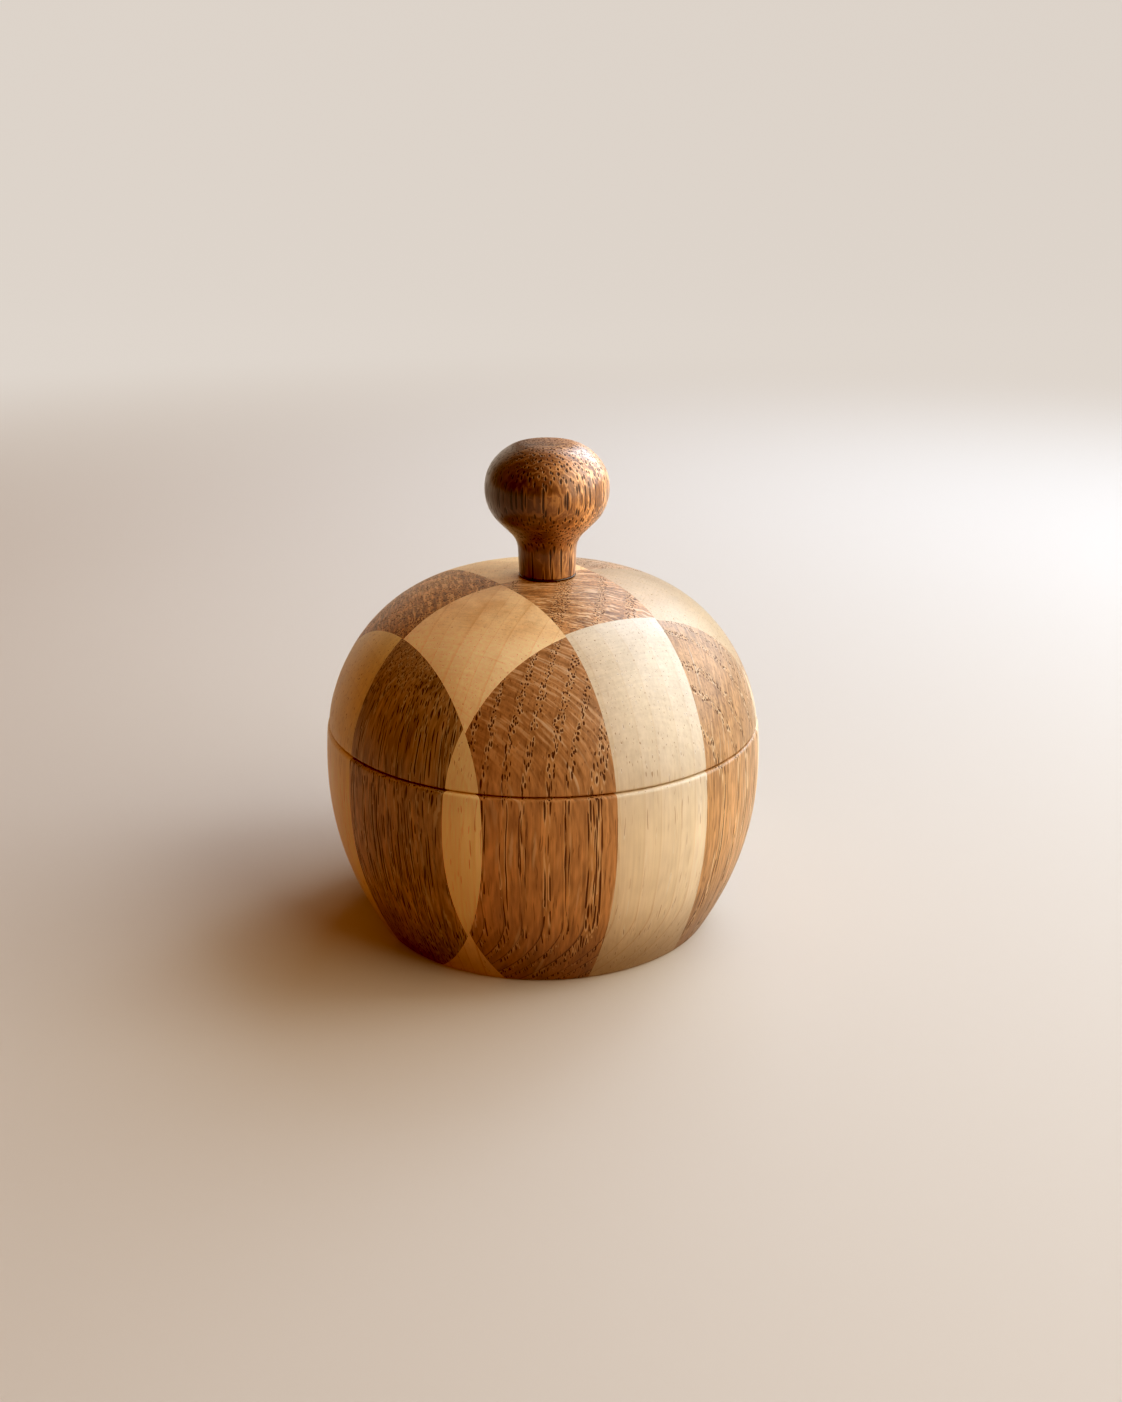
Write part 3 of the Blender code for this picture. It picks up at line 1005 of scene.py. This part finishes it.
@dataclass
class GluedBlock:
    """The block that the cellar was turned from: five strips side by side, each of four staves.

    Its joint planes are read off the CAD staves, half way across their glue lines.
    """

    record: dict[str, object]
    columns: str = "abcde"
    rows: int = 4

    def places(self, body: Body) -> list[StavePlace]:
        """List a body's staves.

        Args:
            body: the base or the lid.

        Returns:
            The staves, strip by strip.
        """
        nodes = {
            part["node"].rsplit("_", 1)[1]: (part["node"], Slot(part["material_slot"]))
            for part in self.record["subparts"]
            if part["node"].startswith(f"{body.value}_")
        }
        boxes = {key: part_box(node) for key, (node, _) in nodes.items()}
        found = []
        for index, column in enumerate(self.columns):
            before = self._between_strips(boxes, index - 1)
            after = self._between_strips(boxes, index)
            for row in range(1, self.rows + 1):
                node, slot = nodes[f"{column}{row}"]
                low = (before, self._between_rows(boxes, column, row - 1))
                high = (after, self._between_rows(boxes, column, row))
                found.append(StavePlace(node, column, row, slot, low, high))
        return found

    def _between_strips(self, boxes: Boxes, index: int) -> float | None:
        """Find the joint after a strip.

        Args:
            boxes: the low and high corners of the body's staves.
            index: the strip's number from 0.

        Returns:
            The joint's x, or None outside the block.
        """
        if not 0 <= index < len(self.columns) - 1:
            return None
        here, there = self.columns[index], self.columns[index + 1]
        low = max(boxes[f"{here}{row}"][1].x for row in range(1, self.rows + 1))
        high = min(boxes[f"{there}{row}"][0].x for row in range(1, self.rows + 1))
        return (low + high) / 2

    def _between_rows(self, boxes: Boxes, column: str, row: int) -> float | None:
        """Find the joint after a row of a strip.

        Args:
            boxes: the low and high corners of the body's staves.
            column: the strip's letter.
            row: the row's number from 1.

        Returns:
            The joint's y, or None outside the block.
        """
        if not 1 <= row < self.rows:
            return None
        return (boxes[f"{column}{row}"][1].y + boxes[f"{column}{row + 1}"][0].y) / 2


# A band wider than the whole ring: the small pores of maple, and of oak cut along its rings, lie all
# over.
WHOLE_RING = 1.1

# How the staves that face the camera were sawn; the others draw theirs by chance, the same each run.
STAVE_GRAINS = {
    "a1": Grain(
        (-130.0, -60.0), 5.0, seed=4.2, tint=(1.30, 1.29, 1.22), band=WHOLE_RING, rays=0.1, line=0.3
    ),
    "a2": Grain(
        (40.0, -90.0), 3.0, seed=5.9, tint=(0.77, 0.97, 1.15), band=WHOLE_RING, rays=0.08, line=0.2,
        wave=0.6, vessel=0.82, closed=0.3, figure=1.2, streak=0.0, arch=0.9,
    ),
    "a3": Grain(
        (-130.0, 30.0), 5.0, seed=6.4, tint=(1.10, 1.07, 0.82), band=WHOLE_RING, rays=0.1, line=0.3
    ),
    "b1": Grain(
        (-95.0, 72.0), 3.7, seed=1.3, tint=(0.97, 1.04, 1.22), band=0.37, rays=0.5, line=0.3, bow=0.05,
        wave=0.18, closed=0.08, streak=0.75,
    ),
    "b2": Grain(
        (-90.0, 90.0), 3.6, seed=7.7, tint=(1.44, 1.38, 1.33), band=WHOLE_RING, rays=0.1, line=0.7,
        vessel=0.7, knob_band=0.65,
    ),
    "b3": Grain(
        (30.0, 110.0), 3.6, seed=8.8, tint=(0.90, 0.83, 0.66), band=0.6, rays=0.4, line=0.3, wave=1.4,
        figure=2.3, streak=0.9,
    ),
    "c1": Grain(
        (-130.0, -30.0), 4.4, seed=2.1, tint=(0.94, 1.01, 1.20), band=WHOLE_RING, rays=0.05, line=0.3,
        bow=0.045, vessel=0.75,
    ),
    "c2": Grain(
        (-75.0, 40.0), 7.0, seed=9.1, tint=(0.96, 0.96, 0.97), band=0.3, rays=0.6, line=0.3, wave=1.6,
        figure=2.0, streak=1.6,
    ),
    "c3": Grain(
        (60.0, 90.0), 4.6, seed=11.2, tint=(1.29, 1.16, 0.97), band=WHOLE_RING, rays=0.1, line=0.4,
        knob_band=0.5,
    ),
    "d1": Grain(
        (3.5, -89.0), 3.8, seed=3.7, tint=(0.95, 1.12, 1.35), band=0.28, rays=0.2, line=0.3, vessel=0.88,
        closed=0.04, figure=1.1, streak=0.0,
    ),
    # d2's slope paints one end of it paler, as painted sheen.
    "d2": Grain(
        (90.0, 60.0), 5.0, seed=10.6, tint=(0.66, 0.60, 0.54), band=WHOLE_RING, rays=0.1, line=0.4,
        knob_band=0.2, painted_light_slope=0.016,
    ),
}
MAPLE_TINT = (1.01, 1.02, 1.05)
OAK_TINT = (1.01, 1.18, 1.44)


def stave_grain(place: StavePlace) -> Grain:
    """Give the grain of a stave, the same for the base's part of it as for the lid's.

    Args:
        place: the stave's place in the block.

    Returns:
        Its grain, with the stave's own middle.
    """
    key = f"{place.column}{place.row}"
    low, high = (Vector(point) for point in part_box(place.node))
    middle = ((low.x + high.x) / 2 / MM, (low.y + high.y) / 2 / MM)
    if key in STAVE_GRAINS:
        return replace(STAVE_GRAINS[key], middle=middle)
    draw = random.Random(f"stave {key}")
    angle, far = draw.uniform(0, FULL_TURN), draw.uniform(70, 130)
    maple = place.slot is Slot.MAPLE
    depth = draw.uniform(0.88, 1.04)
    return Grain(
        pith=(middle[0] + far * math.cos(angle), middle[1] + far * math.sin(angle)),
        ring=draw.uniform(3.4, 4.8),
        lean=draw.uniform(-0.03, 0.03),
        seed=draw.uniform(11, 40),
        tint=tuple(share * depth for share in (MAPLE_TINT if maple else OAK_TINT)),
        band=WHOLE_RING if maple else draw.uniform(0.3, 0.5),
        rays=0.12 if maple else draw.uniform(0.12, 0.35),
        line=draw.uniform(0.3, 0.8) if maple else 0.5,
        knob_band=0.7 if maple else 0.0,
        middle=middle,
    )


@dataclass
class TurnedBody:
    """A body turned in one with the other from the glued block, and parted from it at the seam."""

    body: ClassVar[Body]
    block: GluedBlock
    seam: float = SEAM
    seat_gap: float = SEAT_GAP
    lip_wall: float = LIP_WALL
    steps: int = 360
    pieces: list[bpy.types.Object] = field(default_factory=list)

    def outline(self) -> list[Point]:
        """Draw half of the body's section, from the axis round to the axis."""
        raise NotImplementedError

    def build(self) -> None:
        """Turn the body and saw it into its staves along the glue joints."""
        turned = turn(self.outline(), self.steps)
        strips: dict[str, bmesh.types.BMesh] = {}
        for place in self.block.places(self.body):
            if place.column not in strips:
                strips[place.column] = turned.copy()
                saw_between(strips[place.column], 0, place.low[0], place.high[0])
            stave = strips[place.column].copy()
            saw_between(stave, 1, place.low[1], place.high[1])
            self.pieces.append(as_object(stave, f"{place.node}_turned"))
        for shape in (turned, *strips.values()):
            shape.free()

    def dress(self, finishes: dict[Slot, bpy.types.Material]) -> None:
        """Give each stave its grain and timber, and set it on its CAD node.

        Args:
            finishes: the timbers.
        """
        for piece, place in zip(self.pieces, self.block.places(self.body)):
            stave_grain(place).write(piece.data)
            piece.data.materials.clear()
            piece.data.materials.append(finishes[place.slot])
            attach(piece, self.body.value)
            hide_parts(place.node)
            report(piece)


@dataclass
class Base(TurnedBody):
    """The bowl: a round-bellied body on a flat foot, with the spigot that the lid drops over."""

    body: ClassVar[Body] = Body.BASE
    radius: float = 0.0450
    widest: float = WIDEST_LINE
    rim_draw_in: float = 0.00045
    foot_draw_in: float = 0.0097
    flank_power: float = FLANK_POWER
    rim_round: float = 0.0008
    foot_round: float = 0.0005
    foot_ring: float = 0.0060
    hollow_depth: float = 0.0010
    hollow_slope: float = 0.0015
    floor: float = 0.0070
    bowl_power: float = 4.0
    bowl_corner_power: float = 2.2
    lip_setback: float = 0.0003
    spigot_clearance: float = 0.0003
    spigot_wall: float = 0.0032
    spigot_height: float = 0.0040
    spigot_chamfer: float = 0.0006
    bowl_points: int = 40
    side_points: int = 56

    def flank(self, height: float) -> float:
        """Find the flank's radius, fullest at its widest line.

        Args:
            height: a height between the foot and the seam.

        Returns:
            The radius there.
        """
        if height > self.widest:
            share = (height - self.widest) / (self.seam - self.widest)
            return self.radius - self.rim_draw_in * share**2
        share = (self.widest - height) / self.widest
        return self.radius - self.foot_draw_in * share**self.flank_power

    @property
    def spigot_radius(self) -> float:
        """Give the spigot's radius, just inside the lid's recess."""
        return self.flank(self.seam) - self.lip_setback - self.lip_wall - self.spigot_clearance

    def outline(self) -> list[Point]:
        """Draw half of the base's section.

        Returns:
            (radius, height) from the bowl's middle, up the inside and down the outside, to the
            underside.
        """
        shoulder = self.seam - self.seat_gap / 2
        inner = self.spigot_radius - self.spigot_wall
        top = shoulder + self.spigot_height
        powers = (self.bowl_power, self.bowl_corner_power)
        bowl = [
            (dome(inner, s, *powers), shoulder - (shoulder - self.floor) * s)
            for s in reversed(spread(self.bowl_points, eased=True))
        ]
        chamfer, soft = self.spigot_chamfer, self.spigot_chamfer * 0.5
        spigot = corner((inner, top - soft), (inner, top), (inner + soft, top), count=5)
        outer = self.spigot_radius
        spigot += corner((outer - chamfer, top), (outer, top), (outer, top - chamfer), count=6)
        spigot.append((outer, shoulder))
        edge, high, low = self.flank(shoulder), shoulder - self.rim_round, self.foot_round
        inset = edge - self.rim_round
        rim = corner((inset, shoulder), (edge, shoulder), (self.flank(high), high), count=9)
        heights = (high + (low - high) * s for s in spread(self.side_points)[1:-1])
        side = [(self.flank(height), height) for height in heights]
        foot_radius = self.radius - self.foot_draw_in
        flat = foot_radius - self.foot_round
        foot = corner((self.flank(low), low), (foot_radius, 0.0), (flat, 0.0), count=6)
        ring = flat - self.foot_ring
        under = [(ring, 0.0), (ring - self.hollow_slope, self.hollow_depth), (0.0, self.hollow_depth)]
        return bowl + spigot + rim + side + foot + under


@dataclass
class Lid(TurnedBody):
    """The domed lid, hollow inside, with a recess for the spigot and a hole for the knob's tenon."""

    body: ClassVar[Body] = Body.LID
    edge_radius: float = 0.04425
    rise: float = 0.0301
    crown_power: float = CROWN_POWER
    shoulder_power: float = 3.2
    edge_round: float = 0.0004
    recess_round: float = 0.0003
    recess_top: float = 0.04745
    hollow_wall: float = 0.0070
    crown_thickness: float = 0.0120
    tenon_radius: float = TENON_RADIUS
    tenon_length: float = TENON_LENGTH
    glue_line: float = 0.0003
    drill_length: float = 0.03
    drill_steps: int = 72
    dome_points: int = 72
    hollow_points: int = 32

    def outline(self) -> list[Point]:
        """Draw half of the lid's section.

        Returns:
            (radius, height) from the crown's middle, down the outside, up the hollow to its middle.
        """
        low = self.seam + self.seat_gap / 2
        crown = self.seam + self.rise
        rise = crown - low
        powers = (self.crown_power, self.shoulder_power)
        shares = [s for s in spread(self.dome_points, eased=True) if s * rise > self.edge_round * 1.2]
        outside = [(dome(self.edge_radius, s, *powers), low + rise * s) for s in reversed(shares)]
        edge = corner(
            (dome(self.edge_radius, self.edge_round / rise, *powers), low + self.edge_round),
            (self.edge_radius, low),
            (self.edge_radius - self.edge_round, low),
            count=7,
        )
        inner, soft = self.edge_radius - self.lip_wall, self.recess_round
        recess = corner((inner + soft, low), (inner, low), (inner, low + soft), count=4)
        recess.append((inner, self.recess_top))
        hollow_rise = crown - self.crown_thickness - self.recess_top
        hollow = [
            (dome(self.edge_radius - self.hollow_wall, s, *powers), self.recess_top + hollow_rise * s)
            for s in spread(self.hollow_points, eased=True)
        ]
        return outside + edge + recess + hollow

    def build(self) -> None:
        """Turn the lid, saw it into its staves and drill the hole for the tenon where the knob stands."""
        super().build()
        x, y = knob_middle()
        radius = self.tenon_radius + self.glue_line
        end = self.seam + self.rise - self.tenon_length - self.glue_line
        top = end + self.drill_length
        outline = [(0.0, end), (radius, end), (radius, top), (0.0, top)]
        drill = as_object(turn(outline, self.drill_steps, (x, y)), "drill")
        for piece, place in zip(self.pieces, self.block.places(self.body)):
            if None in place.low + place.high:
                continue
            in_strip = place.low[0] < x < place.high[0]
            if in_strip and place.low[1] - radius < y < place.high[1] + radius:
                self._drill(piece, drill)
        bpy.data.objects.remove(drill)

    def _drill(self, piece: bpy.types.Object, drill: bpy.types.Object) -> None:
        """Cut the drill's shape out of a stave, for good.

        Args:
            piece: the stave, whose mesh is replaced.
            drill: the shape to cut out.
        """
        cut = piece.modifiers.new("tenon_hole", "BOOLEAN")
        cut.operation = "DIFFERENCE"
        cut.solver = "EXACT"
        cut.object = drill
        depsgraph = bpy.context.evaluated_depsgraph_get()
        drilled = bpy.data.meshes.new_from_object(piece.evaluated_get(depsgraph))
        piece.modifiers.clear()
        piece.data = drilled


def knob_middle() -> Point:
    """Give x and y of the knob's own axis, which stands a little off the lid's."""
    low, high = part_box("knob")
    return ((low.x + high.x) / 2, (low.y + high.y) / 2)


@dataclass
class Knob:
    """The turned knob: a flattened bulb with a flat on top, on a waisted neck, and its tenon.

    The bead is the line of set oil round its foot, nearly black so that it also paints the shade in the
    corner there.
    """

    crown: float = CROWN
    seat_gap: float = SEAT_GAP
    bulb_radius: float = 0.01245
    bulb_height: float = 0.0178
    cap_rise: float = 0.0102
    flat_height: float = 0.0091
    cap_edge: float = 0.0007
    cap_power: float = 2.2
    cap_shoulder_power: float = 2.0
    neck_radius: float = 0.0059
    foot_radius: float = 0.0057
    foot_round: float = 0.0005
    under_angle: float = math.radians(45)
    under_share: float = 0.406
    fillet_share: float = 0.236
    tenon_radius: float = TENON_RADIUS
    tenon_length: float = TENON_LENGTH
    tenon_chamfer: float = 0.0006
    steps: int = 180
    cap_points: int = 28
    arc_points: int = 20
    bead_radius: float = 0.00024
    bead_inset: float = 0.00012
    bead_drop: float = 0.00005
    bead_sides: int = 10
    bead_steps: int = 120
    # The knob's slope paints its lit side paler, as painted light.
    grain: Grain = Grain(
        (-51.0, 32.0), 5.4, seed=12.4, tint=(0.58, 0.60, 0.64), band=WHOLE_RING, rays=0.35, line=0.3,
        wave=1.5, closed=0.1, painted_light_slope=0.15, streak=0.9, middle=(0.8, -0.5),
    )
    pieces: list[bpy.types.Object] = field(default_factory=list)

    def _cap(self) -> list[Point]:
        """Draw the bulb above its widest line, with the flat on top and its crisp rim.

        Returns:
            (radius, height) from the middle of the flat down to the widest line.
        """
        middle = self.crown + self.bulb_height
        powers = (self.cap_power, self.cap_shoulder_power)

        def at(share: float) -> Point:
            """Give the cap's point at a share of its rise."""
            return (dome(self.bulb_radius, share, *powers), middle + self.cap_rise * share)

        flat_radius, flat = at(self.flat_height / self.cap_rise)
        last = (self.flat_height - self.cap_edge) / self.cap_rise
        rim = corner((flat_radius - self.cap_edge, flat), (flat_radius, flat), at(last), count=8)
        side = [at(s * last) for s in reversed(spread(self.cap_points)[:-1])]
        return [(0.0, flat), (flat_radius * 0.5, flat)] + rim + side

    def _waist(self) -> list[Point]:
        """Draw the outward arc under the bulb, the cone and the inward arc into the neck.

        Returns:
            (radius, height) from below the widest line down to the neck.
        """
        middle = self.crown + self.bulb_height
        drawn_in = self.bulb_radius - self.neck_radius
        versine = 1 - math.cos(self.under_angle)
        under = self.under_share * drawn_in / versine
        fillet = self.fillet_share * drawn_in / versine
        cone = drawn_in * (1 - self.under_share - self.fillet_share) / math.tan(self.under_angle)
        neck_top = middle - (under + fillet) * math.sin(self.under_angle) - cone
        line = []
        for s in spread(self.arc_points)[1:]:
            angle = s * self.under_angle
            radius = self.bulb_radius - under * (1 - math.cos(angle))
            line.append((radius, middle - under * math.sin(angle)))
        for s in spread(self.arc_points):
            angle = (1 - s) * self.under_angle
            radius = self.neck_radius + fillet * (1 - math.cos(angle))
            line.append((radius, neck_top + fillet * math.sin(angle)))
        return line

    def outline(self) -> list[Point]:
        """Draw half of the knob's section.

        Returns:
            (radius, height) from the flat on top down to the tenon's end.
        """
        foot = self.crown + self.seat_gap
        edge = self.foot_radius
        soft = self.foot_round
        bottom = corner((edge, foot + soft), (edge, foot), (edge - soft, foot), count=6)
        end = self.crown - self.tenon_length
        tenon = [
            (self.tenon_radius, foot),
            (self.tenon_radius, end + self.tenon_chamfer),
            (self.tenon_radius - self.tenon_chamfer, end),
            (0.0, end),
        ]
        return self._cap() + self._waist() + bottom + tenon

    def build(self) -> None:
        """Turn the knob, and lay round its foot the line of set oil that also paints the shade there."""
        x, y = knob_middle()
        self.pieces = [as_object(turn(self.outline(), self.steps, (x, y)), "knob_turned")]
        foot = self.crown + self.seat_gap
        place = Matrix.Translation((x + self.foot_radius - self.bead_inset, y, foot - self.bead_drop))
        upright = Matrix.Rotation(math.pi / 2, 4, "X")
        bead = bmesh.new()
        bmesh.ops.create_circle(
            bead, cap_ends=False, segments=self.bead_sides, radius=self.bead_radius, matrix=place @ upright
        )
        spin_round(bead, self.bead_steps, (x, y))
        self.pieces.append(as_object(bead, "knob_foot_oil_and_shade_line"))

    def dress(self, wood: bpy.types.Material, oil: bpy.types.Material) -> None:
        """Give the knob its dark oak and the line round its foot its set oil.

        Args:
            wood: the knob's timber.
            oil: the set oil, whose near-black also paints the shade at the knob's foot.
        """
        turned, line = self.pieces
        self.grain.write(turned.data)
        for piece, material in ((turned, wood), (line, oil)):
            piece.data.materials.append(material)
            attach(piece, Body.LID.value)
            report(piece)
        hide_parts("knob")


@dataclass(frozen=True)
class SoftLight:
    """A square of soft light, hung in a direction from the cellar. Its power is in watts."""

    name: str
    way: Triple
    colour: str
    power: float
    size: float = 0.9
    distance: float = 0.8

    def hang(self, aim: Vector) -> None:
        """Hang the light, facing a point.

        Args:
            aim: the point that it faces.
        """
        data = bpy.data.lights.new(self.name, "AREA")
        data.shape = "SQUARE"
        data.size = self.size
        data.energy = self.power
        data.color = linear(self.colour)[:3]
        light = bpy.data.objects.new(self.name, data)
        bpy.context.scene.collection.objects.link(light)
        direction = Vector(self.way).normalized()
        light.location = aim + direction * self.distance
        light.visible_camera = False
        light.rotation_euler = direction.to_track_quat("Z", "Y").to_euler()


@dataclass
class Studio:
    """The camera, the pale paper before a pale round wall, the soft lights and the room's warm glow.

    The lights are a cool window at the right, a nearly neutral one in front, a small cool one behind
    and a weak warm fill. The curves give the picture the contrast that is the photograph's own in green
    and blue.
    """

    eye: Triple = (-0.16928, -0.27869, 0.16608)
    look: Triple = (0.4962, 0.7963, -0.3458)
    lens: float = 42.88
    sensor: float = 36.0
    aim: Triple = (0.0, 0.0, 0.05)
    soft_lights: tuple[SoftLight, ...] = (
        SoftLight("window_right", (0.806, -0.071, 0.588), "DDECFF", 7.7),
        SoftLight("window_front", (0.562, -0.72, 0.407), "FFFAF2", 7.1),
        SoftLight("window_behind", (0.66, 0.46, 0.59), "DCEBFF", 2.4, 0.5),
        SoftLight("room_fill", (-0.6, 0.75, 0.35), "FFCF9A", 0.3),
    )
    sky_colour: str = "FFB972"
    sky_strength: float = 0.186
    black_level: Triple = (0.01, 0.0135, 0.0165)
    contrast: Triple = (1.0, 1.12, 1.25)
    curve_stops: tuple[float, ...] = (0.04, 0.12, 0.25, 0.45, 0.7)
    paper_width: float = 3.0
    paper_depth: float = 1.6
    paper_rise: float = 1.6
    paper_drop: float = 0.0001
    paper_bend: float = 0.7
    bend_segments: int = 16
    wall_radius: float = 2.6
    wall_foot: float = -0.8
    wall_height: float = 4.0
    wall_sides: int = 96

    def camera(self) -> None:
        """Set the camera at the photograph's viewing angle."""
        data = bpy.data.cameras.new("camera")
        data.lens = self.lens
        data.sensor_width = self.sensor
        data.sensor_fit = "AUTO"
        camera = bpy.data.objects.new("camera", data)
        bpy.context.scene.collection.objects.link(camera)
        camera.location = self.eye
        camera.rotation_euler = Vector(self.look).to_track_quat("-Z", "Y").to_euler()
        bpy.context.scene.camera = camera

    def _set_up(self, shape: bmesh.types.BMesh, name: str, finish: PaleCard) -> bpy.types.Object:
        """Put a part of the stage into the scene, with its finish, so that it colours nothing round it.

        Args:
            shape: its mesh, which is freed.
            name: its name.
            finish: its finish.

        Returns:
            The new object.
        """
        for face in shape.faces:
            face.smooth = True
        backdrop = as_object(shape, name)
        backdrop.data.materials.append(finish.material())
        backdrop.visible_diffuse = False
        LOG.info("%s set up", name)
        return backdrop

    def paper(self) -> None:
        """Roll out the paper: flat under the cellar and curved up well behind it."""
        sheet = bmesh.new()
        away = Vector((self.look[0], self.look[1], 0)).normalized()
        side = Vector((away.y, -away.x, 0))
        drop = Vector((0, 0, self.paper_drop))
        near = [side * self.paper_width * s - away * self.paper_depth - drop for s in (-0.5, 0.5)]
        edge = sheet.edges.new([sheet.verts.new(point) for point in near])
        for move in (away * self.paper_depth * 2, Vector((0, 0, self.paper_rise))):
            grown = bmesh.ops.extrude_edge_only(sheet, edges=[edge])["geom"]
            points = [part for part in grown if isinstance(part, bmesh.types.BMVert)]
            bmesh.ops.translate(sheet, verts=points, vec=move)
            lines = [part for part in grown if isinstance(part, bmesh.types.BMEdge)]
            edge = next(line for line in lines if all(point in points for point in line.verts))
        bmesh.ops.bevel(
            sheet,
            geom=[line for line in sheet.edges if len(line.link_faces) == 2],
            offset=self.paper_bend,
            affect="EDGES",
            segments=self.bend_segments,
            profile=0.5,
            material=-1,
        )
        bmesh.ops.recalc_face_normals(sheet, faces=sheet.faces[:])
        paper = self._set_up(sheet, "seamless_paper", PaleCard("seamless_paper_pale"))

    def wall(self) -> None:
        """Stand a pale round wall well outside the paper, for the views in which the paper ends."""
        ring = bmesh.new()
        foot = Matrix.Translation((0, 0, self.wall_foot))
        bmesh.ops.create_circle(ring, segments=self.wall_sides, radius=self.wall_radius, matrix=foot)
        grown = bmesh.ops.extrude_edge_only(ring, edges=ring.edges[:])["geom"]
        top = [part for part in grown if isinstance(part, bmesh.types.BMVert)]
        bmesh.ops.translate(ring, verts=top, vec=(0, 0, self.wall_height))
        wall = self._set_up(ring, "pale_wall", PaleCard("pale_wall_paint"))
        wall.visible_glossy = False
        wall.visible_shadow = False

    def lights(self) -> None:
        """Hang the lights, and set the warm glow of the room and the picture's contrast."""
        for light in self.soft_lights:
            light.hang(Vector(self.aim))
        world = bpy.data.worlds.new("room")
        bpy.context.scene.world = world
        world.use_nodes = True
        world.node_tree.nodes.clear()
        glow = add(world.node_tree, "Background", [linear(self.sky_colour), self.sky_strength])
        add(world.node_tree, "OutputWorld", {"Surface": glow})
        view = bpy.context.scene.view_settings
        view.view_transform = "Standard"
        view.look = "None"
        view.use_curve_mapping = True
        view.curve_mapping.black_level = self.black_level
        for curve, power in zip(view.curve_mapping.curves, self.contrast):
            for stop in self.curve_stops:
                curve.points.new(stop, stop**power)
        view.curve_mapping.update()
        LOG.info("lights hung")


def main() -> None:
    """Build the cellar's sub-assemblies over the frame, dress them, light them, and log each piece."""
    logging.basicConfig(level=logging.INFO, format="%(name)s %(message)s")
    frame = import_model()
    finishes = {Slot.MAPLE: OILED_MAPLE.material(), Slot.OAK: OILED_OAK.material()}
    block = GluedBlock(frame["record"])
    for turned_body in (Base(block), Lid(block)):
        turned_body.build()
        turned_body.dress(finishes)
    knob = Knob()
    knob.build()
    knob.dress(HANDLED_OAK.material(), OilAndShadeFinish().material())
    studio = Studio()
    studio.camera()
    studio.paper()
    studio.wall()
    studio.lights()


if __name__ == "__main__":
    main()
